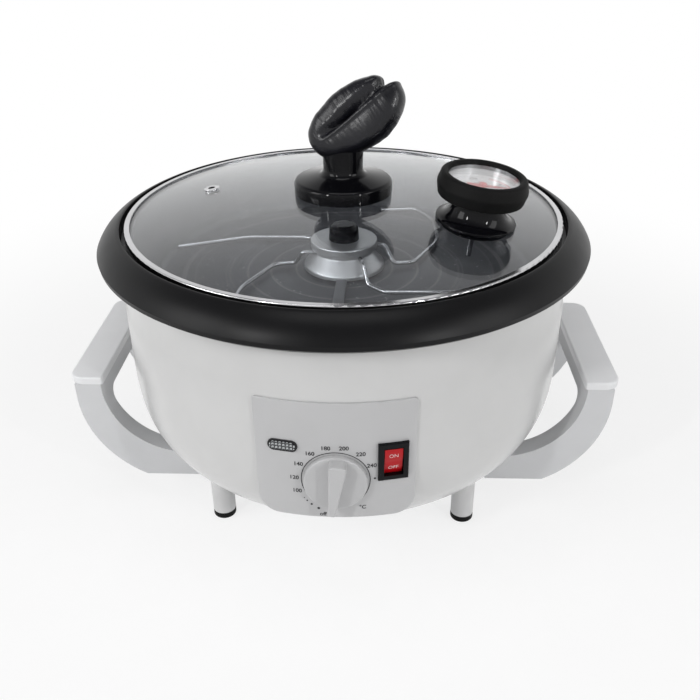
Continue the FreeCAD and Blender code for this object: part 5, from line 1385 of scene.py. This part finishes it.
@dataclass
class ControlPanel:
    """The fascia with its temperature knob, switch and pilot lamp."""

    face_radius: float = 134.8 * MM
    knob_height: float = 82.0 * MM
    scale_gap: float = 5.0 * MM
    ring_radius: float = 17.6 * MM
    ring_width: float = 0.45 * MM
    words: tuple[PanelWord, ...] = (
        PanelWord("100", -110), PanelWord("120", -87), PanelWord("140", -62), PanelWord("160", -37),
        PanelWord("180", -13), PanelWord("200", 12), PanelWord("220", 37), PanelWord("240", 62.5, 21.0 * MM),
        PanelWord("off", -162.5, 23.0 * MM), PanelWord("°C", 141, 22.2 * MM),
    )
    word_size: float = 2.45 * MM
    word_drop: float = 0.7 * MM
    dots: tuple[Span, ...] = (
        (-125, 0.3 * MM), (-131.5, 0.45 * MM), (-140.5, 0.6 * MM), (-153, 0.75 * MM), (86, 0.6 * MM),
    )
    dot_circle: float = 20.3 * MM
    switch_x: float = 29.5 * MM
    switch_height: float = 93.2 * MM
    switch_gap: float = 8.0 * MM
    switch_words: tuple[tuple[str, float], ...] = (("ON", 3.6 * MM), ("OFF", -4.2 * MM))
    switch_word_size: float = 2.3 * MM
    switch_word_weight: float = -0.02

    def build(self, shop: Workshop) -> None:
        """Dress the panel and print its scale and the switch's words.

        Args:
            shop: what makes the pieces.
        """
        panel = shop.refined("control_panel", PANEL_MOULDING)
        shop.refine_all({
            "thermostat_knob": PANEL_MOULDING,
            "thermostat_shaft": PLATED,
            "switch_housing": GLOSS_BLACK,
            "lamp_housing": SATIN_BLACK,
            "lamp_lens": LAMP_LENS_PAINTED_GLINT,
        })
        rocker = shop.refined("switch_rocker", ROCKER_RED)
        before_panel = Matrix.Translation((0, -self.face_radius - self.scale_gap, self.knob_height))
        laid = press_onto(moved(self.scale(), before_panel), panel, Vector((0, 1, 0)))
        shop.piece("panel_scale_print", laid, PRINT_BLACK, Body.BASE)
        self.letter_switch(shop, rocker)

    def scale(self) -> bmesh.types.BMesh:
        """The ring round the knob, the numbers, the unit and the dots.

        Returns:
            Their marks in the XZ plane, about the knob's axis.
        """
        marks = [ring_mark(self.ring_radius, self.ring_radius + self.ring_width)]
        drop = Matrix.Translation((0, 0, -self.word_drop))
        for word in self.words:
            angle = math.radians(word.degrees)
            place = Matrix.Translation((math.sin(angle) * word.radius, 0, math.cos(angle) * word.radius))
            marks.append(moved(lettering(word.text, self.word_size), drop @ place))
        for degrees, radius in self.dots:
            turn = Matrix.Rotation(math.radians(degrees), 4, "Y")
            marks.append(moved(round_dot(radius), drop @ turn @ Matrix.Translation((0, 0, self.dot_circle))))
        return join(marks)

    def letter_switch(self, shop: Workshop, rocker: bpy.types.Object) -> None:
        """Print ON and OFF on the two halves of the rocker.

        Args:
            shop: what makes the pieces.
            rocker: the piece that is printed on.
        """
        words = join(
            moved(lettering(text, self.switch_word_size, self.switch_word_weight),
                  Matrix.Translation((0, 0, rise)))
            for text, rise in self.switch_words)
        angle = math.asin(self.switch_x / self.face_radius)
        place = (Matrix.Rotation(angle, 4, "Z")
                 @ Matrix.Translation((0, -self.face_radius - self.switch_gap, self.switch_height)))
        inward = Matrix.Rotation(angle, 3, "Z") @ Vector((0, 1, 0))
        shop.piece("switch_words", press_onto(moved(words, place), rocker, inward), PRINT_WHITE, Body.ROCKER)


# ---------------------------------------------------------------- stage, light and camera
@dataclass(frozen=True)
class Lamp:
    """A soft rectangular lamp that faces a point; its power is in watts."""

    name: str
    place: Triple
    aim: Triple
    size: Span
    power: float

    def hang(self) -> None:
        """Put the lamp into the scene."""
        light = bpy.data.lights.new(self.name, "AREA")
        light.shape = "RECTANGLE"
        light.size, light.size_y = self.size
        light.energy = self.power
        made = placed(self.name, light)
        made.location = self.place
        made.rotation_euler = (Vector(self.aim) - Vector(self.place)).to_track_quat("-Z", "Y").to_euler()


@dataclass
class Studio:
    """Pale floor, soft lamps and the camera."""

    floor_radius: float = 8.0
    floor_steps: int = 96
    eye: Vector = field(default_factory=lambda: Vector((0.0201, -0.4644, 0.3502)))
    yaw: float = math.radians(2.1)
    pitch: float = math.radians(-30.0)
    roll: float = math.radians(-0.5)
    lens: float = 41.92
    sensor: float = 36.0
    clip_end: float = 50.0
    world_strength: float = 0.45
    ceiling: Colour = (0.3, 0.3, 0.31)
    ceiling_rise: Span = (0.38, 0.8)
    lamps: tuple[Lamp, ...] = (
        Lamp("key_left", (-1.3, -0.55, 0.85), (0.0, 0.0, 0.12), (0.6, 0.8), 7.0),
        Lamp("fill_right", (1.2, -0.5, 0.75), (0.0, 0.0, 0.12), (0.5, 0.8), 3.7),
        Lamp("top_soft", (0.0, -0.15, 1.5), (0.0, 0.0, 0.15), (0.9, 0.5), 4.0),
        Lamp("strip_left", (-0.62, -0.85, 0.75), (0.0, 0.0, 0.2), (0.045, 0.24), 3.5),
        Lamp("strip_right", (0.7, -0.8, 0.6), (0.05, 0.0, 0.2), (0.035, 0.18), 2.4),
    )

    def build(self) -> None:
        """Set the stage."""
        self.floor()
        self.world()
        for lamp in self.lamps:
            lamp.hang()
        self.camera()

    def floor(self) -> None:
        """Lay a round sheet of pale paper."""
        mesh = bmesh.new()
        bmesh.ops.create_circle(mesh, cap_ends=True, segments=self.floor_steps, radius=self.floor_radius)
        made = covered("studio_floor", mesh, PAPER)

    def world(self) -> None:
        """Surround it with white under a grey ceiling, which shines less where it isn't seen."""
        world = bpy.data.worlds.new("studio_world")
        world.use_nodes = True
        bpy.context.scene.world = world
        graph = Graph(world.node_tree)
        strength = graph.seen() * (1.0 - self.world_strength) + self.world_strength
        _, _, up = graph.split(graph.out(graph.node("ShaderNodeTexCoord"), "Generated"))
        colour = graph.mix(graph.ramp(up, *self.ceiling_rise), (1.0, 1.0, 1.0), self.ceiling)
        graph.surface(graph.node("ShaderNodeBackground", None, {"Color": colour, "Strength": strength}),
                      "ShaderNodeOutputWorld")

    def camera(self) -> None:
        """Set up the camera, turned by its yaw, pitch and roll."""
        data = bpy.data.cameras.new("studio_camera")
        data.lens = self.lens
        data.sensor_width = self.sensor
        data.clip_end = self.clip_end
        made = placed("studio_camera", data)
        turn = (Matrix.Rotation(self.yaw, 4, "Z") @ Matrix.Rotation(math.pi / 2 + self.pitch, 4, "X")
                @ Matrix.Rotation(self.roll, 4, "Z"))
        made.matrix_world = Matrix.Translation(self.eye) @ turn
        bpy.context.scene.camera = made
        bpy.context.scene.view_settings.view_transform = "Standard"


def main() -> None:
    """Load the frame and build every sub-assembly."""
    logging.basicConfig(level=logging.INFO, format="%(name)s %(message)s")
    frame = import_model()
    shop = Workshop(frame)
    lid = Lid()
    Bowl().build(shop)
    Works().build(shop)
    Stirrer().build(shop)
    lid.build(shop)
    BeanKnob().build(shop, lid)
    LidThermometer().build(shop, lid)
    ControlPanel().build(shop)
    Studio().build()


if __name__ == "__main__":
    main()
